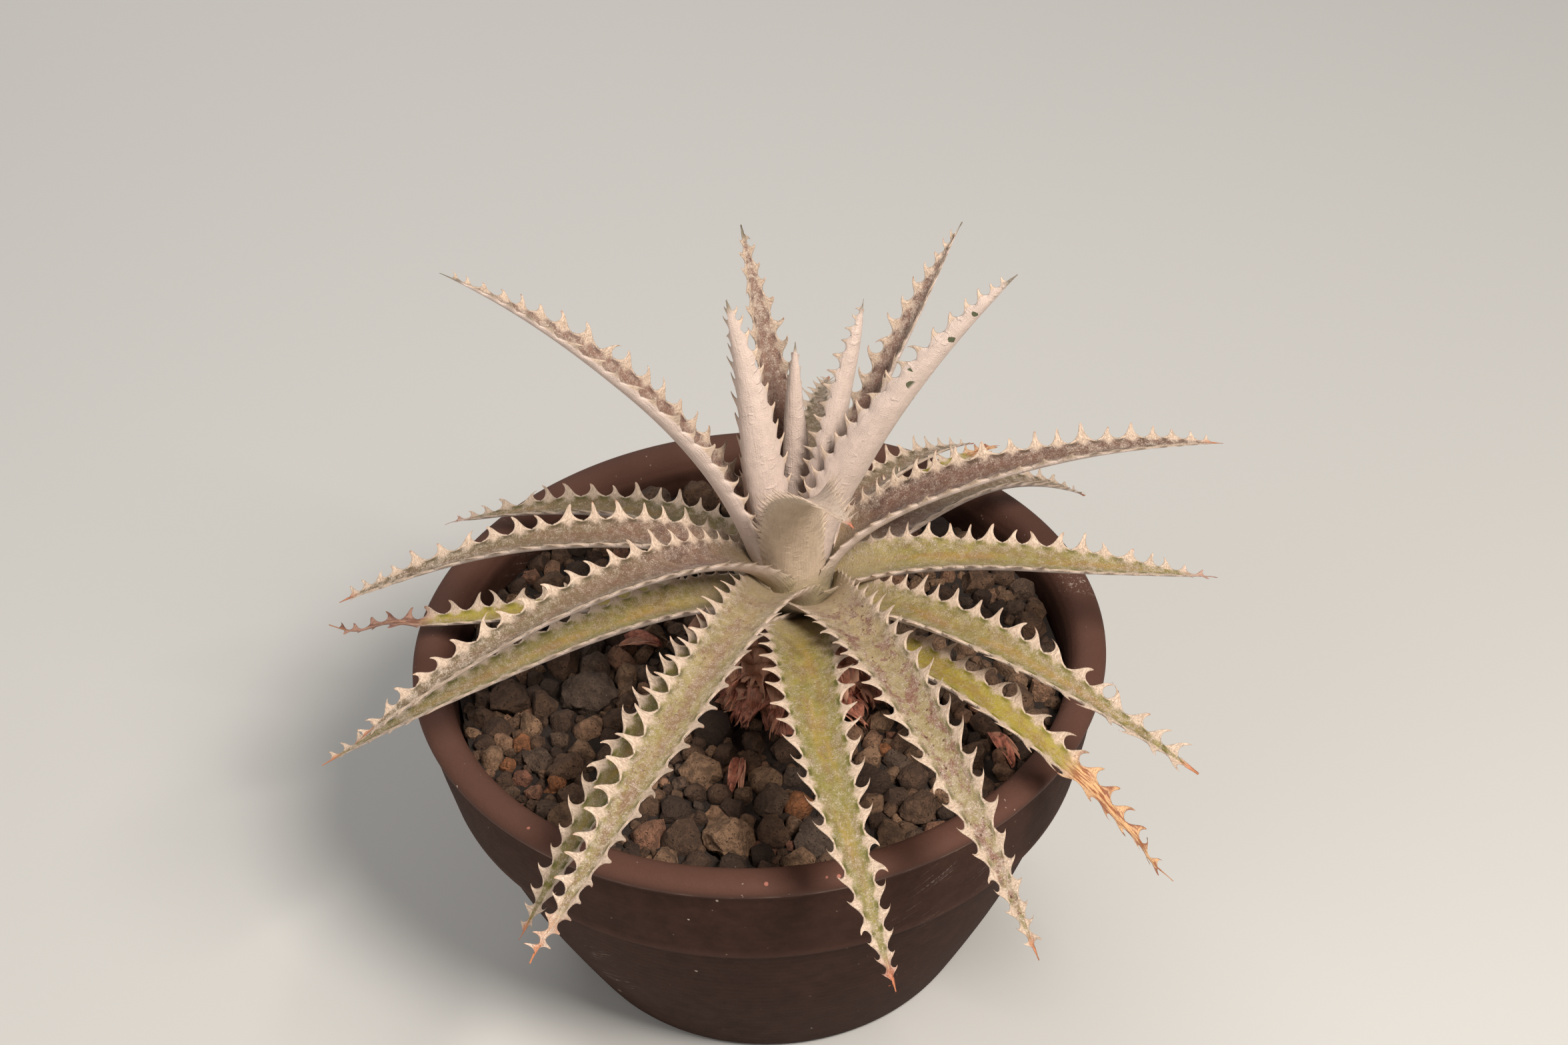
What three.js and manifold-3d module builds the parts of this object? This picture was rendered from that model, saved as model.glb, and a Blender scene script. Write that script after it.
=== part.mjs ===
// A dyckia bromeliad standing in gravel in a round unglazed clay pot.
// Millimetres, +Z up. The origin is the middle of the pot's flat underside.

import * as THREE from 'three';
import { mergeVertices } from 'three/addons/utils/BufferGeometryUtils.js';
import Module from 'manifold-3d';

const wasm = await Module();
wasm.setup();

// ---------------------------------------------------------------- driving dimensions

const GAP = 0.3;                 // clearance between pieces that touch

const POT_FACETS = 40;
const BED_FACETS = POT_FACETS / 2;
const FOOT_RADIUS = 48;
const RIM_RADIUS = 80;           // outermost edge of the rolled rim
const RIM_HEIGHT = 84;           // height of that edge above the underside
const RIM_CROWN = 2;             // the top of the rolled rim above its outermost edge
const STEP_HEIGHT = 58.5;        // the small step in the wall
const WALL = 7;
const FLOOR = 8;
const DRAIN_RADIUS = 4.5;
const DRAIN_OFFSET = 24;         // from the pot's axis to a drain hole's
const DRAIN_COUNT = 3;

// heights of the corners of the pot's inner wall, from the top down
const WALL_INSIDE_HEIGHTS = [70, 44, 28, FLOOR + 4];
const FLOOR_COVE = 4;            // the floor's round is this much narrower than the wall's foot

// the outside of the pot's wall as [height, radius], from the foot to under the rim
const WALL_OUTSIDE = [
  [0, FOOT_RADIUS - 1.2], [1.2, FOOT_RADIUS], [12, 53.5], [28, 61], [44, 67],
  [STEP_HEIGHT - 1.5, 72], [STEP_HEIGHT, 74], [70, 76.8], [80, 78],
];

const BED_HEIGHT = 75;           // gravel surface above the underside, at the wall
const BED_MOUND = 2;             // how much higher the gravel lies round the stem
const BED_ROUGHNESS = 0.9;
const BED_SEED = 41;
const BED_RINGS = 6;

const STEM_AXIS = new THREE.Vector3(9, -4, 0);
const STEM_TOP = 108;            // height of the growing point
const STEM_FOOT = 66;            // the stem's lower end, buried in the gravel
const STEM_TIP_RADIUS = 5;
const STEM_FLARE = 0.45;         // growth of radius per millimetre below the growing point
const STEM_MAX_RADIUS = 13.5;
const LEAF_ROOTING = 2;          // how deep inside the stem's surface a leaf starts

const LEAF_THICKNESS = 2.2;       // at the base, along the middle of the blade
const LEAF_TIP_THINNING = 0.6;   // share of the thickness lost by the tip
const LEAF_EDGE_THINNING = 0.55; // share of the thickness lost at the margins
const LEAF_CHANNEL = 0.42;       // rise of a leaf's margins over its middle, per half width
const LEAF_TAPER = 0.6;          // share of the width lost along the blade, before the point
const LEAF_POINT = 7;            // the higher, the more suddenly the blade narrows to its point
const LEAF_TIP_WIDTH = 0.8;
const LIFT_FADE = 0.14;          // share of the length over which a leaf base's steep lift fades
const SPINE_LENGTH = 2.4;         // at the base; a spine at the tip is half as long
const FIRST_SPINE = 0.08;        // share of the length below which the margins are smooth
const SPINES_PER_SIDE = 9;

// Living leaves from the heart of the rosette outwards. Angles in degrees, lengths in mm:
// azimuth    direction in which the leaf grows, from +X towards +Y
// sweep      turn of that direction by the tip
// lift       extra pitch at the base, where the leaf hugs the stem
// rise, fall pitch of the blade at its base and at its tip
// foot       distance of the leaf's base below the growing point
const LEAVES = [
  // name, azimuth, sweep, lift, rise, fall, length, width, foot
  ['leaf_heart', 73, 0, 5, 83, 88, 61, 7, 2],
  ['leaf_young_left', 202, 0, 0, 89, 81, 84, 12, 4],
  ['leaf_young_right', 3, 0, 8, 82, 78, 79, 9, 4],
  ['leaf_curled_front', 268, 26, -2, 93, 9, 82, 14, 4],
  ['leaf_upright_right', 339, 6, 22, 75, 47, 107, 12, 5],
  ['leaf_upright_left', 184, -5, 12, 78, 29, 119, 12, 6],
  ['leaf_upright_back', 95, 15, 4, 86, 56, 86, 10, 7],
  ['leaf_high_back_right', 43, -4, 23, 67, 42, 92, 11, 8],
  ['leaf_high_right', 2, 2, 60, 31, -10, 105, 12, 4],
  ['leaf_high_left', 215, -5, 59, 25, -25, 120, 13, 3],
  ['leaf_left', 183, -4, 61, 21, -29, 108, 12, 5],
  ['leaf_right', 351, 2, 62, 2, -9, 93, 14, 5],
  ['leaf_front_right', 290, 3, 18, 30, -42, 126, 13, 4],
  ['leaf_right_low', 319, 1, 39, 14, -19, 106, 13, 7],
  ['leaf_front_left', 250, -15, 64, 8, -24, 131, 14, 4],
  ['leaf_left_low', 207, -2, 57, 5, -15, 114, 13, 8],
  ['leaf_front', 269, 20, 13, 25, -37, 118, 15, 9],
  ['leaf_back_left', 131, 42, 60, -7, -20, 94, 11, 9],
  ['leaf_back_right_olive', 65, -21, 59, -7, -25, 80, 10, 7],
  ['leaf_back', 84, -4, 40, 12, -28, 92, 11, 11],
  ['leaf_back_hidden', 102, 3, 40, 10, -30, 52, 11, 12],
  ['leaf_back_right_long', 35, 4, 27, 20, -47, 91, 11, 11],
  ['leaf_front_left_low', 239, -9, 60, 10, -38, 113, 12, 9],
  ['leaf_left_yellow', 173, 1, 59, -19, -5, 102, 9, 12],
  ['leaf_right_yellow', 308, 22, 24, 24, -55, 110, 10, 13],
  ['leaf_back_right_yellow', 53, -2, 38, 6, -26, 80, 9, 13],
].map(([name, azimuth, sweep, lift, rise, fall, length, width, foot]) => (
  { name, azimuth, sweep, lift, rise, fall, length, width, foot }
));

// Dried papery leaf bases round the foot of the stem, in the same terms.
const DRY_BASE_DIRECTIONS = [225, 250, 202, 278, 308, 345];
const DRY_BASE_FIRST_FOOT = 20;
const DRY_BASE_SPACING = 0.8;    // how much lower each next one sits
const DRY_BASE = {
  sweep: 6, lift: 20, rise: 24, fall: -36, length: 19, width: 13, thickness: 1.4, spines: 0,
};

// Dry leaf pieces lying on the gravel: middle x and y, direction, length, width.
const FALLEN = [
  { x: -7, y: -38, direction: 250, length: 13, width: 3.2 },
  { x: 53.5, y: -33.5, direction: 297, length: 12, width: 3.6 },
  { x: -29, y: 10, direction: 160, length: 19, width: 5 },
  { x: 36, y: 46, direction: 35, length: 18, width: 4.5 },
];
const FALLEN_ARCH = 1.2;         // how far a fallen piece's middle stands up
const FALLEN_TAPER = 0.6;        // share of its width that it loses at either end
const FALLEN_REST = 0.6;         // height of its ends' middle above the bed
const FALLEN_THICKNESS = 1.2;

// Large loose stones on the bed: x, y, mean radius, height as a share of the width.
const FIRST_STONE_SEED = 5;
const STONES = [
  { x: -9, y: -55, radius: 6.6, squash: 0.8 },
  { x: 1, y: -45, radius: 4.6, squash: 0.85 },
  { x: 11, y: -57, radius: 5.8, squash: 0.75 },
  { x: -24.5, y: 57, radius: 5.8, squash: 1.45 },
  { x: -12.5, y: 60.5, radius: 5.3, squash: 1.2 },
  { x: -45, y: -30, radius: 4.8, squash: 0.8 },
  { x: -58, y: -6, radius: 5, squash: 0.75 },
  { x: -40, y: -6, radius: 7, squash: 0.7 },
  { x: 33, y: -50, radius: 5, squash: 0.8 },
  { x: 58, y: -16, radius: 4.8, squash: 0.8 },
];
const STONE_STAND = 0.3;         // height of a stone's middle above the bed, per half height
const STONE_NARROWING = 0.9;     // a stone's width as a share of its length
const STONE_ROUGHNESS = 0.12;

const FINISH = {
  pot: { color: 0x5a4036, roughness: 0.85, metalness: 0 },
  gravel: { color: 0x4e443c, roughness: 0.95, metalness: 0 },
  stone: { color: 0x6b5d51, roughness: 0.95, metalness: 0 },
  stem: { color: 0x6a4a3a, roughness: 0.9, metalness: 0 },
  leaf: { color: 0x97956a, roughness: 0.7, metalness: 0 },
  dry: { color: 0x7a4c3c, roughness: 0.8, metalness: 0 },
};

// ---------------------------------------------------------------- small helpers

const radians = THREE.MathUtils.degToRad;
const mix = THREE.MathUtils.lerp;

function seededRandom(seed) {
  let state = seed;
  return () => {
    state = (state * 16807) % 2147483647;
    return state / 2147483647;
  };
}

// One random value for each place, so that vertices that share a place move together.
function scatter(seed) {
  const random = seededRandom(seed);
  const values = new Map();
  return (point) => {
    const key = point.toArray().map((value) => Math.round(value * 100)).join(' ');
    if (!values.has(key)) {
      values.set(key, 2 * random() - 1);
    }
    return values.get(key);
  };
}

function toSolid(geometry) {
  const bare = geometry.clone();
  bare.deleteAttribute('normal');
  bare.deleteAttribute('uv');
  const welded = mergeVertices(bare, 1e-4);
  return new wasm.Manifold(new wasm.Mesh({
    numProp: 3,
    vertProperties: new Float32Array(welded.attributes.position.array),
    triVerts: new Uint32Array(welded.index.array),
  }));
}

function toGeometry(solid) {
  const mesh = solid.getMesh();
  const geometry = new THREE.BufferGeometry();
  geometry.setAttribute('position', new THREE.BufferAttribute(mesh.vertProperties.slice(), 3));
  geometry.setIndex(new THREE.BufferAttribute(mesh.triVerts.slice(), 1));
  const flat = geometry.toNonIndexed();
  flat.computeVertexNormals();
  return flat;
}

// The largest connected body of a solid: what stays when a crossing piece nips a corner off.
function largestBody(solid) {
  return solid.decompose().reduce((best, body) => (body.volume() > best.volume() ? body : best));
}

function moveVertices(geometry, place) {
  const position = geometry.attributes.position;
  const point = new THREE.Vector3();
  for (let i = 0; i < position.count; i += 1) {
    point.fromBufferAttribute(position, i);
    place(point);
    position.setXYZ(i, point.x, point.y, point.z);
  }
  return geometry;
}

// A lathe turns about +Y; this stands it on +Z.
function turned(profile, facets) {
  const points = profile.map(([height, radius]) => new THREE.Vector2(radius, height));
  return new THREE.LatheGeometry(points, facets).rotateX(Math.PI / 2);
}

// ---------------------------------------------------------------- pot

function wallRadiusInside(height) {
  let k = 1;
  while (k < WALL_OUTSIDE.length - 1 && WALL_OUTSIDE[k][0] < height) {
    k += 1;
  }
  const [lowHeight, lowRadius] = WALL_OUTSIDE[k - 1];
  const [highHeight, highRadius] = WALL_OUTSIDE[k];
  return mix(lowRadius, highRadius, (height - lowHeight) / (highHeight - lowHeight)) - WALL;
}

function potProfile() {
  const rim = [
    [RIM_HEIGHT - 3, 78], [RIM_HEIGHT - 2, RIM_RADIUS - 0.4], [RIM_HEIGHT, RIM_RADIUS],
    [RIM_HEIGHT + 0.7 * RIM_CROWN, RIM_RADIUS - 1.8], [RIM_HEIGHT + RIM_CROWN, RIM_RADIUS - 4.5],
    [RIM_HEIGHT + 0.5 * RIM_CROWN, RIM_RADIUS - 7.5], [RIM_HEIGHT - 2.5, RIM_RADIUS - 9],
  ];
  const inside = WALL_INSIDE_HEIGHTS.map((height) => [height, wallRadiusInside(height)]);
  const floor = [[FLOOR, wallRadiusInside(FLOOR) - FLOOR_COVE], [FLOOR, 0]];
  return [[0, 0], ...WALL_OUTSIDE, ...rim, ...inside, ...floor];
}

function makePot() {
  let pot = toSolid(turned(potProfile(), POT_FACETS));
  for (let i = 0; i < DRAIN_COUNT; i += 1) {
    const angle = (2 * Math.PI * i) / DRAIN_COUNT + Math.PI / 2;
    const drill = new THREE.CylinderGeometry(DRAIN_RADIUS, DRAIN_RADIUS, 4 * FLOOR, 16)
      .rotateX(Math.PI / 2)
      .translate(DRAIN_OFFSET * Math.cos(angle), DRAIN_OFFSET * Math.sin(angle), 0);
    pot = pot.subtract(toSolid(drill));
  }
  return pot;
}

// ---------------------------------------------------------------- gravel

function bedHeight(x, y) {
  const reach = Math.hypot(x - STEM_AXIS.x, y - STEM_AXIS.y) / RIM_RADIUS;
  return BED_HEIGHT + BED_MOUND * Math.max(0, 1 - reach);
}

function makeBed(neighbours) {
  const side = WALL_INSIDE_HEIGHTS.map((height) => [height, wallRadiusInside(height) - GAP]).reverse();
  const edgeRadius = wallRadiusInside(BED_HEIGHT) - GAP;
  const top = [];
  for (let ring = 0; ring < BED_RINGS; ring += 1) {
    top.push([BED_HEIGHT, edgeRadius * (1 - ring / BED_RINGS)]);
  }
  const floorRadius = wallRadiusInside(FLOOR) - FLOOR_COVE - GAP;
  const profile = [
    [FLOOR + GAP, 0], [FLOOR + GAP, floorRadius], ...side, ...top, [BED_HEIGHT, 0],
  ];
  const bump = scatter(BED_SEED);
  const bed = moveVertices(turned(profile, BED_FACETS), (point) => {
    if (point.z < BED_HEIGHT - 1e-6) {
      return;
    }
    const onEdge = Math.hypot(point.x, point.y) > edgeRadius - 1;
    point.z = bedHeight(point.x, point.y) + (onEdge ? 0 : BED_ROUGHNESS * bump(point));
  });
  return neighbours.reduce((solid, neighbour) => solid.subtract(neighbour), toSolid(bed));
}

function makeStone(stone, seed, extra) {
  const bump = scatter(seed);
  const { x, y, radius, squash } = stone;
  const rock = moveVertices(new THREE.IcosahedronGeometry(1, 1), (point) => {
    point.multiplyScalar(radius * (1 + STONE_ROUGHNESS * bump(point)) + extra);
  });
  rock.scale(1, STONE_NARROWING, squash);
  rock.rotateZ(seed);
  rock.translate(x, y, bedHeight(x, y) + radius * squash * STONE_STAND);
  return toSolid(rock);
}

// ---------------------------------------------------------------- stem

function stemRadius(foot) {
  return Math.min(STEM_MAX_RADIUS, STEM_TIP_RADIUS + STEM_FLARE * foot);
}

function makeStem(extra) {
  const profile = [[STEM_FOOT - extra, 0], [STEM_FOOT - extra, STEM_MAX_RADIUS + extra]];
  for (const foot of [24, 18, 12, 6, 2, 0]) {
    profile.push([STEM_TOP - foot, stemRadius(foot) + extra]);
  }
  profile.push([STEM_TOP + extra, 0]);
  return toSolid(turned(profile, 24).translate(STEM_AXIS.x, STEM_AXIS.y, 0));
}

// ---------------------------------------------------------------- leaves

// Direction of growth of a leaf at share s of its length.
function leafTangent(leaf, s) {
  const pitch = radians(mix(leaf.rise, leaf.fall, s) + leaf.lift * Math.exp(-s / LIFT_FADE));
  const heading = radians(leaf.azimuth + leaf.sweep * s);
  return new THREE.Vector3(
    Math.cos(pitch) * Math.cos(heading),
    Math.cos(pitch) * Math.sin(heading),
    Math.sin(pitch),
  );
}

// Centre line of a leaf: evenly spaced stations with the directions of its width and its face.
function leafStations(leaf, count) {
  const azimuth = radians(leaf.azimuth);
  const rooted = stemRadius(leaf.foot) - LEAF_ROOTING;
  const point = new THREE.Vector3(
    STEM_AXIS.x + rooted * Math.cos(azimuth),
    STEM_AXIS.y + rooted * Math.sin(azimuth),
    STEM_TOP - leaf.foot,
  );
  const stations = [];
  for (let i = 0; i <= count; i += 1) {
    const s = i / count;
    const heading = radians(leaf.azimuth + leaf.sweep * s);
    const across = new THREE.Vector3(-Math.sin(heading), Math.cos(heading), 0);
    const face = new THREE.Vector3().crossVectors(leafTangent(leaf, s), across);
    stations.push({ point: point.clone(), across, face });
    point.addScaledVector(leafTangent(leaf, s + 0.5 / count), leaf.length / count);
  }
  return stations;
}

function bladeWidth(leaf, s) {
  const taper = (1 - LEAF_TAPER * s) * (1 - s ** LEAF_POINT);
  return Math.max(LEAF_TIP_WIDTH, leaf.width * taper);
}

// A leaf is a flat slab bent along its centre line, channelled, tapered and toothed at the margins.
function makeLeaf(leaf, extra) {
  const teeth = leaf.spines ?? SPINES_PER_SIDE;
  const rings = 2 * teeth + 2;
  const stations = leafStations(leaf, rings);
  const thickness = leaf.thickness ?? LEAF_THICKNESS;
  const slab = moveVertices(new THREE.BoxGeometry(1, 1, 1, 2, 1, rings), (point) => {
    const ring = Math.round((point.z + 0.5) * rings);
    const s = ring / rings;
    const { point: middle, across, face } = stations[ring];
    const isSpine = teeth > 0 && ring % 2 === 1 && s > FIRST_SPINE;
    const tooth = isSpine ? SPINE_LENGTH * (1 - s / 2) : 0;
    const half = bladeWidth(leaf, s) / 2;
    const side = 2 * point.x;
    const level = point.y;
    const sideways = side * (half + tooth + extra);
    const lift = LEAF_CHANNEL * ((half + tooth) * Math.abs(side) - half / 2);
    const thinned = (1 - LEAF_EDGE_THINNING * Math.abs(side)) * (1 - LEAF_TIP_THINNING * s);
    const slim = thickness * thinned + 2 * extra;
    point.copy(middle)
      .addScaledVector(across, sideways)
      .addScaledVector(face, lift + level * slim);
  });
  return toSolid(slab);
}

function dryBase(direction, index) {
  const foot = DRY_BASE_FIRST_FOOT + index * DRY_BASE_SPACING;
  return { ...DRY_BASE, name: `dry_base_${index + 1}`, azimuth: direction, foot };
}

// A fallen piece is a short slab with an arched middle, lying a little into the gravel.
function makeFallen(piece, extra) {
  const slab = new THREE.BoxGeometry(piece.length + 2 * extra, piece.width + 2 * extra, 1, 8, 2, 1);
  moveVertices(slab, (point) => {
    const along = point.x / (piece.length / 2);
    const height = FALLEN_ARCH * (1 - along * along);
    point.y *= 1 - FALLEN_TAPER * Math.abs(along);
    point.z = point.z * (FALLEN_THICKNESS + 2 * extra) + height;
  });
  slab.rotateZ(radians(piece.direction));
  slab.translate(piece.x, piece.y, bedHeight(piece.x, piece.y) + FALLEN_REST);
  return toSolid(slab);
}

// ---------------------------------------------------------------- assembly

const plant = new THREE.Group();

function addPiece(name, solid, finish) {
  const mesh = new THREE.Mesh(toGeometry(solid), new THREE.MeshStandardMaterial(finish));
  mesh.name = name;
  plant.add(mesh);
}

// Leaves are placed from the heart outwards, each trimmed to clear the stem and the leaves inside it.
function addLeaves() {
  const placed = [makeStem(GAP)];
  const blades = [
    ...LEAVES.map((leaf) => ({ leaf, finish: FINISH.leaf })),
    ...DRY_BASE_DIRECTIONS.map(dryBase).map((leaf) => ({ leaf, finish: FINISH.dry })),
  ];
  for (const { leaf, finish } of blades) {
    const trimmed = placed.reduce((solid, other) => solid.subtract(other), makeLeaf(leaf, 0));
    addPiece(leaf.name, largestBody(trimmed), finish);
    placed.push(makeLeaf(leaf, GAP));
  }
}

function addBed() {
  const stones = STONES.map((stone, index) => makeStone(stone, index + FIRST_STONE_SEED, 0));
  stones.forEach((stone, index) => addPiece(`stone_${index + 1}`, stone, FINISH.stone));
  FALLEN.forEach((piece, index) => addPiece(`fallen_leaf_${index + 1}`, makeFallen(piece, 0), FINISH.dry));
  const neighbours = [
    makeStem(GAP),
    ...STONES.map((stone, index) => makeStone(stone, index + FIRST_STONE_SEED, GAP)),
    ...FALLEN.map((piece) => makeFallen(piece, GAP)),
  ];
  addPiece('gravel_bed', largestBody(makeBed(neighbours)), FINISH.gravel);
}

addPiece('pot', makePot(), FINISH.pot);
addPiece('stem', makeStem(0), FINISH.stem);
addLeaves();
addBed();

export default plant;
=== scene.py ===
"""A potted dyckia: a spiny rosette in gravel in a round unglazed clay pot.

Every piece is modelled in millimetres and brought to metres as it is finished.
"""

import math
from contextlib import contextmanager
from dataclasses import dataclass, replace

import bmesh
import bpy
import numpy as np
from mathutils import Euler, Matrix, Vector


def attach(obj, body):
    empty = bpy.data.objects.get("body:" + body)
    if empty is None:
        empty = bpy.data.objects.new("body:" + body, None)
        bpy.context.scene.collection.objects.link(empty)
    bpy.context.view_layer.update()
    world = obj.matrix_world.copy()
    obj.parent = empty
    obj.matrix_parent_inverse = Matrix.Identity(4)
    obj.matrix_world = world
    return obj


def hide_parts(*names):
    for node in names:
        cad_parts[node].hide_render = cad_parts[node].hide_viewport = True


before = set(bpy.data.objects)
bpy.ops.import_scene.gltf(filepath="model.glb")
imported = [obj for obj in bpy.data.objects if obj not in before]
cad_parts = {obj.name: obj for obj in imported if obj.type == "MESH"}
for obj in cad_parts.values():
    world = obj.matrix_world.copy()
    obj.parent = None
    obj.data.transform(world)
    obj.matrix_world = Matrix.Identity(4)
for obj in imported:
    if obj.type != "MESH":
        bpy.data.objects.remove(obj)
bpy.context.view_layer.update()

MM = 0.001
FULL_TURN = 2 * math.pi

# ---------------------------------------------------------------- sizes and places, in mm

# the pot's rings from the middle of its underside, up the outside, over the rim and down inside
POT_FACETS = 128
POT_RINGS = [
    # height, radius
    (0.0, 46.2), (0.3, 47.2), (1.4, 48.2), (5.0, 50.0), (12.0, 53.5), (20.0, 57.3), (28.0, 61.0),
    (36.0, 64.1), (44.0, 67.0), (51.0, 69.5), (55.8, 71.1), (56.9, 71.5), (57.3, 71.9), (57.5, 73.2),
    (57.8, 73.9), (58.5, 74.3), (62.0, 74.9), (70.0, 76.7), (77.0, 77.8), (80.2, 78.0),
    (80.9, 78.2), (81.5, 79.0), (82.6, 79.7), (84.0, 79.9), (85.1, 79.0), (85.7, 77.4),
    (85.9, 75.6), (85.5, 73.8), (84.4, 72.5), (82.6, 71.6), (80.0, 70.9), (74.0, 70.3),
    (66.0, 68.7), (52.0, 65.3), (38.0, 60.0), (24.0, 54.0), (14.0, 47.6), (10.0, 44.0),
    (8.2, 40.0), (8.0, 30.0), (8.0, 12.0),
]
DRAIN_RADIUS = 4.5
DRAIN_OFFSET = 24.0
DRAIN_COUNT = 3

BED_HEIGHT = 75.0
BED_MOUND = 2.0
BED_RADIUS = 70.0
RIM_RADIUS = 80.0

STEM_AXIS = (9.0, -4.0)
STEM_TOP = 108.0
STEM_TIP_RADIUS = 5.0
STEM_FLARE = 0.45
STEM_MAX_RADIUS = 13.5
LEAF_ROOTING = 2.0

LIFT_FADE = 0.14
LEAF_TAPER = 0.6
LEAF_POINT = 5
WITHERED_TWIST = 0.4             # turn of a withered end, in radians for the whole length
LINE_STEPS = 120

# the flat blade that every leaf is bent from
BLADE_WIDTH = 12.0
BLADE_THICKNESS = 1.2
BLADE_COLUMNS = 6
SPINE_PITCH = 5.0
ROWS_PER_SPINE = 4
ROOT_HALF = 0.25                 # half the width of a spine's root, in pitches
SPINE_STEPS = [(0.15, 0.5), (0.15, 0.8), (0.12, 1.0), (0.06, 1.0)]   # inset and height of each ring
SPINE_TIP = 0.9
SPINE_REACH = sum(depth for _, depth in SPINE_STEPS) + SPINE_TIP
ROOT_SPREAD = 0.455              # half the width that a root is drawn out to, in pitches
SPINE_UNEVENNESS = 0.17          # how far a spine may stand off its even place, in pitches
SPINE_STAGGER = 0.30             # how far the right margin's spines are ahead of the left's


@dataclass
class Leaf:
    """One living leaf. Angles are in degrees and lengths in mm.

    azimuth to foot place its line: direction, turn of it, extra pitch at the base, pitch of the
    blade at base and tip, length, width, and how far below the growing point it starts.
    coat names its colours. fold is how far either margin of the blade is turned up. roll is how
    far it has turned about its own line beyond its base. spine is the length of its largest
    spines. curl is their bend towards the leaf's tip, or its base if negative, on the lower and
    the upper half. withered is the share of the length from which it has dried up. wrap is half
    the width of its base, and spacing the mean distance between its spines. spread is how much
    further apart they stand towards the tip, and fading how much smaller they get there.
    """
    name: str
    azimuth: float
    sweep: float
    lift: float
    rise: float
    fall: float
    length: float
    width: float
    foot: float
    coat: str
    fold: float = 46
    roll: float = 0
    spine: float = 4.2
    curl: tuple = (0.5, 0.8)
    withered: float = 2.0
    wrap: float = 8.5
    spacing: float = 4.6
    spread: float = 0.7
    fading: float = 0.5


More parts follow.
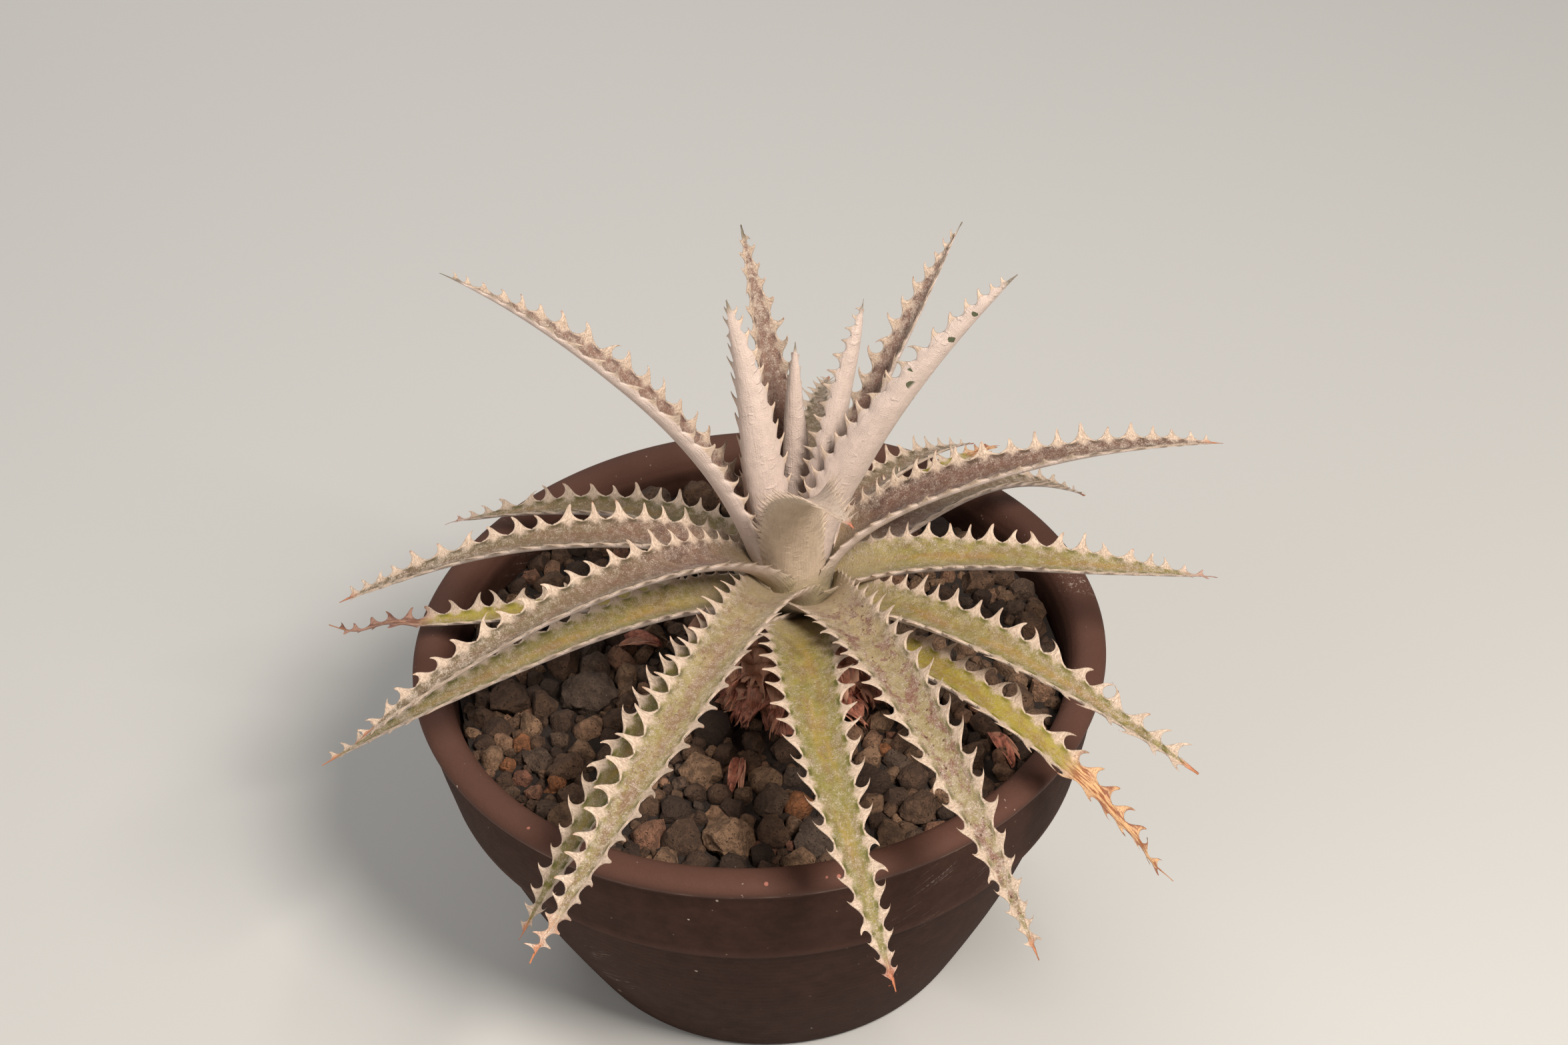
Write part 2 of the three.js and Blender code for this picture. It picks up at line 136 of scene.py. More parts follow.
LEAVES = [
    Leaf("leaf_heart", 73, 0, 5, 83, 88, 61, 7, 2, "inner",
         fold=88, roll=165, spine=1.5, wrap=4.0, spacing=4.2),
    Leaf("leaf_young_left", 202, 0, 0, 89, 81, 84, 12, 4, "inner",
         fold=62, roll=-62, spine=2.8, curl=(0.6, 0.9), wrap=5.5, spacing=4.8, spread=0.3),
    Leaf("leaf_young_right", 3, 0, 8, 82, 78, 79, 10, 4, "inner",
         fold=62, roll=66, spine=2.7, curl=(0.4, -0.2), wrap=5.0, spacing=3.7, spread=0.3),
    Leaf("leaf_curled_front", 268, 26, -2, 93, 9, 82, 17, 4, "curled",
         fold=42, spine=3.2, curl=(0.7, 0.3), wrap=9.5, spacing=2.5, spread=0.3, fading=0.0),
    Leaf("leaf_upright_right", 339, 6, 22, 75, 47, 107, 12.5, 5, "spotted",
         fold=62, roll=58, spine=3.2, curl=(0.8, 0.7), wrap=5.5, spacing=4.7, spread=0.4),
    Leaf("leaf_upright_left", 184, -5, 12, 78, 29, 119, 13, 6, "inner",
         fold=62, roll=-6, spine=3.1, curl=(0.6, 0.8), wrap=7.0, spacing=4.9, spread=0.3),
    Leaf("leaf_upright_back", 95, 15, 4, 86, 56, 86, 11, 7, "inner",
         fold=55, spine=2.9, curl=(0.8, 0.9), wrap=7.0, spacing=4.4, spread=0.3),
    Leaf("leaf_high_back_right", 43, -4, 23, 67, 42, 92, 11, 8, "inner",
         fold=52, roll=14, spine=3.1, curl=(0.9, 0.9), wrap=7.0, spacing=4.2, spread=0.2),
    Leaf("leaf_high_right", 2, 2, 60, 31, -10, 105, 12, 4, "purple",
         fold=50, spine=3.4, curl=(0.6, 0.1), wrap=8.0, spacing=4.5, spread=0.5),
    Leaf("leaf_high_left", 215, -5, 59, 25, -25, 120, 13, 3, "middle",
         fold=44, spine=3.9, curl=(0.4, 0.8), wrap=8.0),
    Leaf("leaf_left", 183, -4, 61, 21, -29, 108, 12, 5, "middle",
         fold=44, spine=3.6, curl=(0.3, 0.6)),
    Leaf("leaf_right", 351, 2, 62, 2, -9, 93, 14, 5, "green",
         fold=42, spine=3.6, curl=(0.1, 0.3), withered=0.90, spacing=4.4, spread=0.4),
    Leaf("leaf_front_right", 290, 3, 18, 30, -42, 126, 14, 4, "pale",
         fold=40, roll=-14, spine=3.8, curl=(0.4, -0.8), wrap=11.5),
    Leaf("leaf_right_low", 319, 1, 39, 14, -19, 106, 13, 7, "green",
         fold=40, spine=4.1, curl=(0.1, 0.9), withered=0.955, spread=1.0, fading=0.12),
    Leaf("leaf_front_left", 250, -15, 64, 8, -24, 131, 14.5, 4, "stained",
         fold=38, spine=4.4, curl=(0.3, 0.4), withered=0.88, wrap=9.5),
    Leaf("leaf_left_low", 207, -2, 57, 5, -15, 114, 13, 8, "green",
         fold=42, spine=3.6, curl=(0.5, 0.6)),
    Leaf("leaf_front", 269, 17, 18, 24, -39, 118, 16.5, 6, "yellow",
         fold=28, spine=3.6, curl=(0.2, -0.9), withered=0.92),
    Leaf("leaf_back_left", 131, 42, 60, -7, -20, 94, 11, 9, "olive",
         fold=46, spine=3.2, curl=(0.0, 0.8), withered=0.90),
    Leaf("leaf_back_right_olive", 65, -21, 59, -7, -25, 80, 10, 7, "middle",
         fold=44, spine=3.4, curl=(0.3, 0.5), spacing=4.2),
    Leaf("leaf_back", 84, -4, 40, 12, -28, 92, 11, 11, "middle", fold=42, spine=3.6),
    Leaf("leaf_back_hidden", 102, 3, 40, 10, -30, 52, 11, 12, "green", fold=42, spine=3.4),
    Leaf("leaf_back_right_long", 35, 4, 27, 20, -47, 91, 11, 11, "middle", fold=46, spine=3.2),
    Leaf("leaf_front_left_low", 239, -9, 60, 10, -38, 113, 12.5, 9, "yellow",
         fold=36, spine=3.8, curl=(-0.3, -0.8), withered=0.95),
    Leaf("leaf_left_yellow", 173, 1, 59, -19, -5, 102, 9, 12, "shrivelled",
         fold=46, spine=3.4, curl=(0.5, 0.6), withered=0.74, spacing=4.4, spread=0.6),
    Leaf("leaf_right_yellow", 308, 22, 24, 24, -55, 110, 10.5, 13, "ageing",
         fold=38, spine=3.8, curl=(0.6, 0.9), withered=0.66, fading=0.3),
    Leaf("leaf_back_right_yellow", 53, -2, 38, 6, -26, 80, 9, 13, "ageing",
         fold=42, spine=3.2, withered=0.80, spacing=4.4),
]

# dried leaf bases round the foot of the stem
DRY_BASE_DIRECTIONS = [225, 250, 202, 278, 308, 345]

# points torn at the end of a dry scale: first and last of its 12 columns, and length
TORN_POINTS = [(0, 2, 0.10), (2, 3, 0.30), (3, 6, 0.22), (6, 7, 0.42), (7, 10, 0.15), (10, 12, 0.28)]

# dry leaf pieces lying on the gravel: name, x, y, direction, length, width
FALLEN = [
    ("fallen_leaf_1", -7, -38, 250, 13, 3.2),
    ("fallen_leaf_2", 53.5, -33.5, 297, 12, 3.0),
    ("fallen_leaf_3", -29, 10, 160, 13, 4.0),
    ("fallen_leaf_4", 36, 46, 35, 12, 3.6),
]

# large loose stones: name, x, y, mean radius, height as a share of the width, tint, seed
STONES = [
    ("stone_1", -9, -55, 6.6, 0.80, 0.80, 71),
    ("stone_2", 1, -45, 4.6, 0.85, 0.55, 72),
    ("stone_3", 11, -57, 5.8, 0.75, 0.50, 73),
    ("stone_4", -24.5, 57, 5.8, 1.45, 0.45, 74),
    ("stone_5", -12.5, 60.5, 5.3, 1.20, 0.38, 75),
    ("stone_6", -45, -30, 4.8, 0.80, 0.35, 76),
    ("stone_7", -58, -6, 5.0, 0.75, 0.25, 77),
    ("stone_8", -40, -6, 7.0, 0.70, 0.52, 91),
    ("stone_9", 33, -50, 5.0, 0.80, 0.30, 79),
    ("stone_10", 58, -16, 4.8, 0.80, 0.40, 80),
]
STONE_STAND = 0.3

# grains of one colour that catch the eye: x, y, radius
ORANGE_GRAINS = [
    (-55, -20, 2.5), (7, -46, 3.9), (27, -30, 1.7), (-47, -34, 2.5), (-58, -27, 2.0), (-62, 18, 2.0),
]

# the grains by size: smallest and largest radius, and how many places are tried for each layer
GRAIN_SIZES = [(4.0, 5.2, 40), (3.0, 4.0, 500), (2.3, 3.0, 3400), (1.2, 2.2, 12000)]
GRAIN_CLOSENESS = 0.79           # least distance of two grains, as a share of their radii's sum
PLAIN_SHARE = 0.996              # share of the grains that aren't reddish
GRAIN_KINDS = 8

# lamps: name, place, size, power, tone
LAMPS = [
    ("key", (0.34, -0.52, 0.86), 0.30, 14.0, (1.0, 0.93, 0.85)),
    ("fill", (-0.75, -0.55, 0.55), 0.8, 3.0, (1.0, 0.97, 0.94)),
    ("back", (-0.2, 0.8, 0.7), 0.6, 2.8, (1.0, 0.98, 0.96)),
]
LAMP_AIM = (0.0, 0.0, 0.09)
ROOM_TONE, ROOM_STRENGTH = (1.0, 0.98, 0.95), 0.26
FLOOR_SIZE, FLOOR_TONE = 6, (0.50, 0.495, 0.48)
CAMERA_PLACE = (0.0, -0.57736, 0.59090)
CAMERA_TURN = (50.7541, 2.2016, -2.5163)     # degrees
SENSOR_WIDTH, LENS = 36.0, 76.53

# ---------------------------------------------------------------- modelling helpers


def only(piece):
    """Makes one piece the selected and active one."""
    bpy.ops.object.select_all(action="DESELECT")
    piece.select_set(True)
    bpy.context.view_layer.objects.active = piece


def name_new(name):
    """Names the primitive that was just added, and leaves it alone selected."""
    piece = bpy.context.object
    piece.name = name
    piece.data.name = name
    only(piece)
    return piece


@contextmanager
def editing(piece):
    """Edit mode on one piece, with nothing in it selected."""
    only(piece)
    bpy.ops.object.mode_set(mode="EDIT")
    bpy.ops.mesh.select_all(action="DESELECT")
    yield
    bpy.ops.object.mode_set(mode="OBJECT")


def select_whole():
    """Selects, in edit mode, the whole piece."""
    bpy.ops.mesh.select_all(action="SELECT")


def pick_faces(piece, wanted):
    """Selects, in edit mode, the faces whose middle and normal are wanted."""
    bpy.ops.mesh.select_all(action="DESELECT")
    bpy.ops.mesh.select_mode(type="FACE")
    mesh = bmesh.from_edit_mesh(piece.data)
    for face in mesh.faces:
        if wanted(face.calc_center_median(), face.normal):
            face.select = True
    bmesh.update_edit_mesh(piece.data)


def pick_edges(piece, wanted):
    """Selects, in edit mode, the edges both of whose ends are wanted."""
    bpy.ops.mesh.select_all(action="DESELECT")
    bpy.ops.mesh.select_mode(type="EDGE")
    mesh = bmesh.from_edit_mesh(piece.data)
    for edge in mesh.edges:
        if all(wanted(vertex.co) for vertex in edge.verts):
            edge.select = True
    bmesh.update_edit_mesh(piece.data)


def apply_modifier(piece, kind, **settings):
    only(piece)
    modifier = piece.modifiers.new(kind.lower(), kind)
    for key, value in settings.items():
        setattr(modifier, key, value)
    bpy.ops.object.modifier_apply(modifier=modifier.name)


def subdivide_smoothly(piece, levels):
    apply_modifier(piece, "SUBSURF", levels=levels, render_levels=levels)


def copy_piece(original, name):
    piece = original.copy()
    piece.data = original.data.copy()
    piece.name = name
    piece.data.name = name
    bpy.context.scene.collection.objects.link(piece)
    return piece


def discard(piece):
    bpy.data.objects.remove(piece)


def vertices_of(piece):
    places = np.empty(len(piece.data.vertices) * 3)
    piece.data.vertices.foreach_get("co", places)
    return places.reshape(-1, 3)


def move_vertices(piece, places):
    piece.data.vertices.foreach_set("co", np.asarray(places, dtype=np.float32).ravel())
    piece.data.update()


def store_vectors(piece, name, values):
    """Keeps one vector for each vertex, for the piece's material to read."""
    attribute = piece.data.attributes.new(name, "FLOAT_VECTOR", "POINT")
    attribute.data.foreach_set("vector", np.asarray(values, dtype=np.float32).ravel())


def store_values(piece, name, values):
    """Keeps one value for each vertex, for the piece's material to read."""
    attribute = piece.data.attributes.new(name, "FLOAT", "POINT")
    attribute.data.foreach_set("value", np.asarray(values, dtype=np.float32))


def join(pieces, name):
    only(pieces[0])
    for piece in pieces[1:]:
        piece.select_set(True)
    bpy.ops.object.join()
    return name_new(name)


def finish_piece(piece, material, replaces=(), sharp=None):
    """Brings a piece to metres in the shared frame, gives it its finish and fixes it to the body."""
    only(piece)
    bpy.ops.object.transform_apply(location=True, rotation=True, scale=True)
    piece.data.transform(Matrix.Scale(MM, 4))
    piece.data.update()
    if sharp is None:
        bpy.ops.object.shade_smooth()
    else:
        bpy.ops.object.shade_smooth_by_angle(angle=math.radians(sharp))
    piece.data.materials.clear()
    piece.data.materials.append(material)
    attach(piece, "root")
    if replaces:
        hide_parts(*replaces)
    return piece


def smooth_step(low, high, value):
    share = np.clip((value - low) / (high - low), 0, 1)
    return share * share * (3 - 2 * share)


# ---------------------------------------------------------------- shader helpers


def feed(tree, node, inputs):
    """Gives a node its inputs. One that is a socket is linked."""
    for key, value in inputs.items():
        if isinstance(value, bpy.types.NodeSocket):
            tree.links.new(value, node.inputs[key])
        else:
            node.inputs[key].default_value = value
    return node


def add(tree, kind, inputs=None, **settings):
    """A node with its settings and inputs."""
    node = tree.nodes.new("ShaderNode" + kind)
    for key, value in settings.items():
        setattr(node, key, value)
    return feed(tree, node, inputs or {})


def colour(rgb):
    return (*rgb, 1.0)


def calculate(tree, operation, *values, clamp=False):
    """The outcome of a Math node."""
    return add(tree, "Math", dict(enumerate(values)), operation=operation, use_clamp=clamp).outputs[0]


def times(tree, value, factor):
    return calculate(tree, "MULTIPLY", value, factor)


def scaled(tree, value, factor, rest):
    """value times factor, plus the rest."""
    return calculate(tree, "MULTIPLY_ADD", value, factor, rest)


def rising(tree, value, low, high):
    """0 at low, 1 at high, and smooth between them. Low may lie above high."""
    inputs = {"Value": value, "From Min": low, "From Max": high}
    return add(tree, "MapRange", inputs, interpolation_type="SMOOTHSTEP").outputs["Result"]


def blend(tree, share, first, second):
    """Two colours mixed."""
    first, second = (colour(c) if isinstance(c, tuple) else c for c in (first, second))
    node = add(tree, "Mix", {0: share, 6: first, 7: second}, data_type="RGBA")
    return node.outputs[2]


def over(tree, base, rgb, mask, share):
    """A colour laid over a base, where the mask is up and as strongly as the share says."""
    return blend(tree, times(tree, mask, share), base, rgb)


def noise(tree, place, scale, detail=4.0, roughness=0.55):
    inputs = {"Vector": place, "Scale": scale, "Detail": detail, "Roughness": roughness}
    return add(tree, "TexNoise", inputs).outputs["Fac"]


def stretched(tree, place, scale):
    """A place pressed or stretched along its axes."""
    return add(tree, "Mapping", {"Vector": place, "Scale": scale}).outputs[0]


def flattened(tree, place):
    """A place with its height left out."""
    inputs = {0: place, 1: (1.0, 1.0, 0.0)}
    return add(tree, "VectorMath", inputs, operation="MULTIPLY").outputs[0]


def distance(tree, place, point):
    return add(tree, "VectorMath", {0: place, 1: point}, operation="DISTANCE").outputs[1]


def read_vector(tree, name):
    return add(tree, "Attribute", attribute_name=name).outputs["Vector"]


def read_value(tree, name):
    return add(tree, "Attribute", attribute_name=name).outputs["Fac"]


def split(tree, vector):
    return add(tree, "SeparateXYZ", {0: vector}).outputs


def place_in_mm(tree):
    """The piece's own coordinates, in mm."""
    place = add(tree, "TexCoord").outputs["Object"]
    return stretched(tree, place, (1 / MM, 1 / MM, 1 / MM))


def new_group(name, inputs, outputs):
    """A node group with its sockets, and its input and output nodes."""
    tree = bpy.data.node_groups.new(name, "ShaderNodeTree")
    for key, kind, value in inputs:
        socket = tree.interface.new_socket(key, in_out="INPUT", socket_type=kind)
        if value is not None:
            socket.default_value = value
    for key, kind in outputs:
        tree.interface.new_socket(key, in_out="OUTPUT", socket_type=kind)
    return tree, tree.nodes.new("NodeGroupInput").outputs, tree.nodes.new("NodeGroupOutput").inputs


def use(tree, group, inputs):
    """A group placed in a material with its own values."""
    node = tree.nodes.new("ShaderNodeGroup")
    node.node_tree = group
    return feed(tree, node, inputs).outputs


def new_material(name):
    """An empty material with its Principled shader joined to the output."""
    material = bpy.data.materials.new(name)
    material.use_nodes = True
    tree = material.node_tree
    tree.nodes.clear()
    shader = add(tree, "BsdfPrincipled")
    output = add(tree, "OutputMaterial")
    tree.links.new(shader.outputs[0], output.inputs[0])
    return material, tree, shader.inputs


def bump(tree, height, depth):
    """A normal from a height whose full range is depth metres."""
    return add(tree, "Bump", {"Height": height, "Distance": depth}).outputs[0]


FLOAT, VECTOR = "NodeSocketFloat", "NodeSocketVector"

# ---------------------------------------------------------------- effects shared by materials


def make_flecks():
    """Small round flecks of uneven size, few or many."""
    tree, given, out = new_group(
        "flecks",
        [("Place", VECTOR, None), ("Per mm", FLOAT, 0.3), ("Share", FLOAT, 0.1), ("Size", FLOAT, 0.3)],
        [("Mask", FLOAT)],
    )
    cells = add(tree, "TexVoronoi", {"Vector": given["Place"], "Scale": given["Per mm"]})
    chance = split(tree, cells.outputs["Color"])
    chosen = calculate(tree, "LESS_THAN", chance[0], given["Share"])
    reach = times(tree, given["Size"], calculate(tree, "ADD", chance[1], 0.3))
    ragged = noise(tree, given["Place"], times(tree, given["Per mm"], 4.0), 2.0)
    from_middle = calculate(tree, "ADD", cells.outputs["Distance"], times(tree, ragged, 0.2))
    inside = calculate(tree, "LESS_THAN", from_middle, calculate(tree, "ADD", reach, 0.1))
    tree.links.new(times(tree, chosen, inside), out["Mask"])
    return tree


def make_scurf():
    """White scales that lie on a leaf: an uneven haze of them, with single scales standing out."""
    tree, given, out = new_group(
        "scurf",
        [("Place", VECTOR, None), ("Per mm", FLOAT, 3.0), ("Cover", FLOAT, 0.5)],
        [("Mask", FLOAT), ("Height", FLOAT)],
    )
    scales = noise(tree, given["Place"], given["Per mm"], 3.0, 0.7)
    drifts = noise(tree, given["Place"], times(tree, given["Per mm"], 0.20), 5.0, 0.70)
    islands = rising(tree, drifts, 0.42, 0.62)
    haze = times(tree, given["Cover"], scaled(tree, islands, 1.2, 0.12))
    amount = scaled(tree, given["Cover"], 1.2, times(tree, islands, 0.26))
    loose = times(tree, rising(tree, scales, 0.51, 0.57), amount)
    mask = calculate(tree, "ADD", haze, loose, clamp=True)
    tree.links.new(calculate(tree, "MINIMUM", mask, 0.92), out["Mask"])
    tree.links.new(times(tree, mask, scales), out["Height"])
    return tree


def make_felt():
    """Pressed white felt with fine lines along the leaf and rows of ticks left by its neighbours."""
    tree, given, out = new_group("felt", [("Place", VECTOR, None)], [("Shade", FLOAT), ("Height", FLOAT)])
    flat = flattened(tree, given["Place"])
    lines = noise(tree, stretched(tree, flat, (3.2, 0.14, 1.0)), 1.0, 3.0, 0.6)
    broad = noise(tree, stretched(tree, flat, (0.5, 0.20, 1.0)), 1.0, 3.0, 0.5)
    grain = noise(tree, flat, 3.6, 2.0, 0.7)
    # rows of short ticks, pressed in by the spines of the neighbours
    across, along, _ = split(tree, flat)
    waver = noise(tree, flat, 0.30, 3.0, 0.6)
    turn = scaled(tree, waver, 9.0, times(tree, along, 2.7))
    turn = scaled(tree, across, 0.8, turn)
    tick = rising(tree, calculate(tree, "SINE", turn), 0.45, 1.0)
    rows = rising(tree, noise(tree, stretched(tree, flat, (0.62, 0.05, 1.0)), 1.0, 1.0), 0.50, 0.66)
    places = rising(tree, noise(tree, flat, 0.16, 2.0), 0.40, 0.58)
    mark = times(tree, tick, times(tree, rows, places))
    shade = scaled(tree, lines, 0.55, times(tree, broad, 0.6))
    shade = scaled(tree, grain, 0.55, shade)
    shade = scaled(tree, mark, 0.08, shade)
    shade = calculate(tree, "SUBTRACT", shade, 0.25, clamp=True)
    tree.links.new(shade, out["Shade"])
    lumps = noise(tree, stretched(tree, flat, (0.30, 0.22, 1.0)), 1.0, 2.0, 0.5)
    height = scaled(tree, mark, 0.32, scaled(tree, lumps, 1.0, shade))
    tree.links.new(height, out["Height"])
    return tree


def make_mineral():
    """Rough mineral surface: colour patches, grit and ragged pits."""
    tree, given, out = new_group(
        "mineral",
        [("Place", VECTOR, None), ("Per mm", FLOAT, 1.0)],
        [("Patches", FLOAT), ("Pores", FLOAT), ("Height", FLOAT)],
    )
    def at(share):
        return times(tree, given["Per mm"], share)
    patches = noise(tree, given["Place"], at(0.5), 5.0, 0.65)
    grit = noise(tree, given["Place"], at(3.4), 4.0, 0.7)
    lumps = noise(tree, given["Place"], at(1.1), 3.0, 0.6)
    pits = noise(tree, given["Place"], at(1.9), 2.0, 0.5)
    pores = times(tree, rising(tree, pits, 0.40, 0.31), rising(tree, patches, 0.42, 0.55))
    height = scaled(tree, grit, 0.35, times(tree, lumps, 0.8))
    height = calculate(tree, "SUBTRACT", height, times(tree, pores, 0.30))
    tree.links.new(patches, out["Patches"])
    tree.links.new(pores, out["Pores"])
    tree.links.new(height, out["Height"])
    return tree


FLECKS = make_flecks()
SCURF = make_scurf()
FELT = make_felt()
MINERAL = make_mineral()

# ---------------------------------------------------------------- materials

IVORY = (0.60, 0.465, 0.36)
IVORY_SHADE = (0.47, 0.345, 0.255)
SCURF_WHITE = (0.60, 0.49, 0.40)
FELT_WHITE = (0.75, 0.60, 0.53)
SPINE_TIP_BROWN = (0.34, 0.11, 0.04)
RUBBED_GREEN = (0.06, 0.075, 0.03)
BASE_CREAM = (0.50, 0.39, 0.215)
BASE_OLIVE = (0.27, 0.215, 0.105)
STAIN_BROWN = (0.155, 0.063, 0.040)
SPECK_BROWN = (0.085, 0.034, 0.018)
CHALK_SMEAR = (38.0, -62.0, 66.0)
RIM_CHIPS = [(-1.3, -78.2, 85.1), (11.6, -77.4, 85.3), (-52.0, -57.5, 85.3), (14.2, -77.2, 85.2)]
RIM_SCUFF = (76.5, 15.0, 85.6)
CHIP_PINK = (0.42, 0.16, 0.12)
CLAY_DARK = (0.030, 0.0120, 0.0078)
CLAY_LIGHT = (0.045, 0.0195, 0.0128)
CLAY_CLOUD = (0.057, 0.0255, 0.0175)
RIM_WORN_AND_LIT = (0.106, 0.049, 0.035)
RUBBED_CLAY = (0.26, 0.17, 0.13)
WORN_CLAY = (0.100, 0.047, 0.034)
PALE_GROG = (0.55, 0.46, 0.38)
ORANGE_GROG = (0.42, 0.13, 0.06)
CLAY_DUST = (0.45, 0.36, 0.29)
RIM_DUST = (0.50, 0.38, 0.31)
RIM_CRUMBS = (0.50, 0.42, 0.36)
CHALK = (0.40, 0.34, 0.30)
GRAIN_DEEP = (0.032, 0.019, 0.013)
GRAIN_PIT_SHADE = (0.016, 0.010, 0.008)
GRAIN_DUST = (0.36, 0.29, 0.23)
DRY_DARK = (0.15, 0.040, 0.025)
DRY_LIGHT = (0.58, 0.200, 0.125)
DRY_BLOTCH = (0.66, 0.34, 0.23)
DRY_FADED = (0.60, 0.37, 0.235)
DRY_FRAYED = (0.66, 0.33, 0.19)
BARK_DARK = (0.06, 0.028, 0.018)
BARK_LIGHT = (0.20, 0.10, 0.06)
FILL_DARK = (0.014, 0.009, 0.007)
FILL_LIGHT = (0.050, 0.031, 0.022)
FILL_PIT_SHADE = (0.008, 0.005, 0.004)

# what a surface's relief is worth from its lowest to its highest point, in metres
LEAF_RELIEF, CLAY_RELIEF, GRAIN_RELIEF = 0.00035, 0.00018, 0.0017
DRY_RELIEF, BARK_RELIEF, FILL_RELIEF = 0.0004, 0.0008, 0.0015


@dataclass
class Coat:
    """Colours of a leaf: its face, middle streak, margin between spines, felted back, tip and dry end.

    scurf is how much of the face is whitened, frosted how much more its outer half is, stain how
    strongly it is stained brown, and rubbed how green the rubbed spots on the felt are. far is the
    colour that the face turns to beyond its middle.
    """
    dark: tuple
    light: tuple
    streak: tuple
    streak_strength: float
    gap: tuple
    scurf: float
    felt_shade: tuple
    tip: tuple
    dry: tuple
    dry_pale: tuple
    stain: float = 0.35
    far: tuple = None
    felt_light: tuple = FELT_WHITE
    rubbed: float = 0.0
    frosted: float = 0.22


# the outer coats' felt_shade is darker than the inner coat's: partly their own greyer felt, partly painted
# shade on undersides that face down
COATS = {
    "inner": Coat((0.112, 0.047, 0.036), (0.215, 0.115, 0.083), (0.09, 0.042, 0.032), 0.4,
                  (0.06, 0.035, 0.03), 0.17, (0.42, 0.34, 0.29), (0.16, 0.14, 0.09), (0.5, 0.4, 0.3),
                  (0.6, 0.5, 0.4), 0.3, frosted=0.36),
    # the curled heart leaf's felt is browner and darker: partly its own tint, partly painted shade of the
    # recess it curls into
    "curled": Coat((0.36, 0.24, 0.17), (0.54, 0.40, 0.31), (0.09, 0.042, 0.032), 0.4, (0.06, 0.035, 0.03),
                   0.40, (0.31, 0.225, 0.155), (0.55, 0.15, 0.07), (0.5, 0.4, 0.3), (0.6, 0.5, 0.4),
                   felt_light=(0.72, 0.575, 0.435)),
    "middle": Coat((0.072, 0.028, 0.020), (0.14, 0.074, 0.044), (0.12, 0.055, 0.025), 0.4,
                   (0.045, 0.035, 0.015), 0.09, (0.33, 0.27, 0.22), (0.40, 0.12, 0.04), (0.42, 0.28, 0.2),
                   (0.6, 0.46, 0.38), far=(0.135, 0.105, 0.038), frosted=0.32),
    "green": Coat((0.15, 0.122, 0.020), (0.27, 0.220, 0.050), (0.28, 0.160, 0.026), 0.8, (0.05, 0.055, 0.012),
                  0.10, (0.30, 0.25, 0.19), (0.42, 0.13, 0.04), (0.44, 0.26, 0.2), (0.66, 0.48, 0.4),
                  far=(0.18, 0.145, 0.026)),
    "yellow": Coat((0.155, 0.130, 0.018), (0.27, 0.222, 0.045), (0.32, 0.200, 0.030), 0.8,
                   (0.03, 0.038, 0.006), 0.07, (0.33, 0.28, 0.20), (0.42, 0.12, 0.04), (0.30, 0.11, 0.08),
                   (0.56, 0.34, 0.25), far=(0.150, 0.132, 0.020), frosted=0.16),
    "pale": Coat((0.235, 0.170, 0.078), (0.40, 0.300, 0.155), (0.20, 0.15, 0.045), 0.4, (0.04, 0.04, 0.015),
                 0.14, (0.36, 0.29, 0.23), (0.42, 0.13, 0.04), (0.5, 0.3, 0.2), (0.6, 0.45, 0.35), 1.0,
                 far=(0.18, 0.150, 0.050)),
    "stained": Coat((0.20, 0.152, 0.058), (0.33, 0.250, 0.110), (0.22, 0.110, 0.050), 0.5,
                    (0.04, 0.04, 0.012), 0.16, (0.36, 0.29, 0.23), (0.42, 0.13, 0.04), (0.5, 0.3, 0.2),
                    (0.6, 0.45, 0.35), 0.6, far=(0.20, 0.165, 0.030)),
    "ageing": Coat((0.185, 0.148, 0.011), (0.30, 0.240, 0.028), (0.27, 0.17, 0.018), 0.6, (0.08, 0.08, 0.008),
                   0.03, (0.34, 0.28, 0.18), (0.40, 0.17, 0.08), (0.28, 0.085, 0.035), (0.66, 0.39, 0.20)),
}
COATS["purple"] = replace(
    COATS["middle"], dark=(0.060, 0.024, 0.018), light=(0.118, 0.058, 0.040), far=(0.105, 0.048, 0.030),
    frosted=0.30,
)
COATS["olive"] = replace(
    COATS["green"], dark=(0.105, 0.078, 0.018), light=(0.185, 0.140, 0.042), far=(0.15, 0.105, 0.030),
)
COATS["spotted"] = replace(COATS["inner"], rubbed=0.95)
COATS["shrivelled"] = replace(COATS["ageing"], dry=(0.17, 0.060, 0.040), dry_pale=(0.40, 0.215, 0.155))


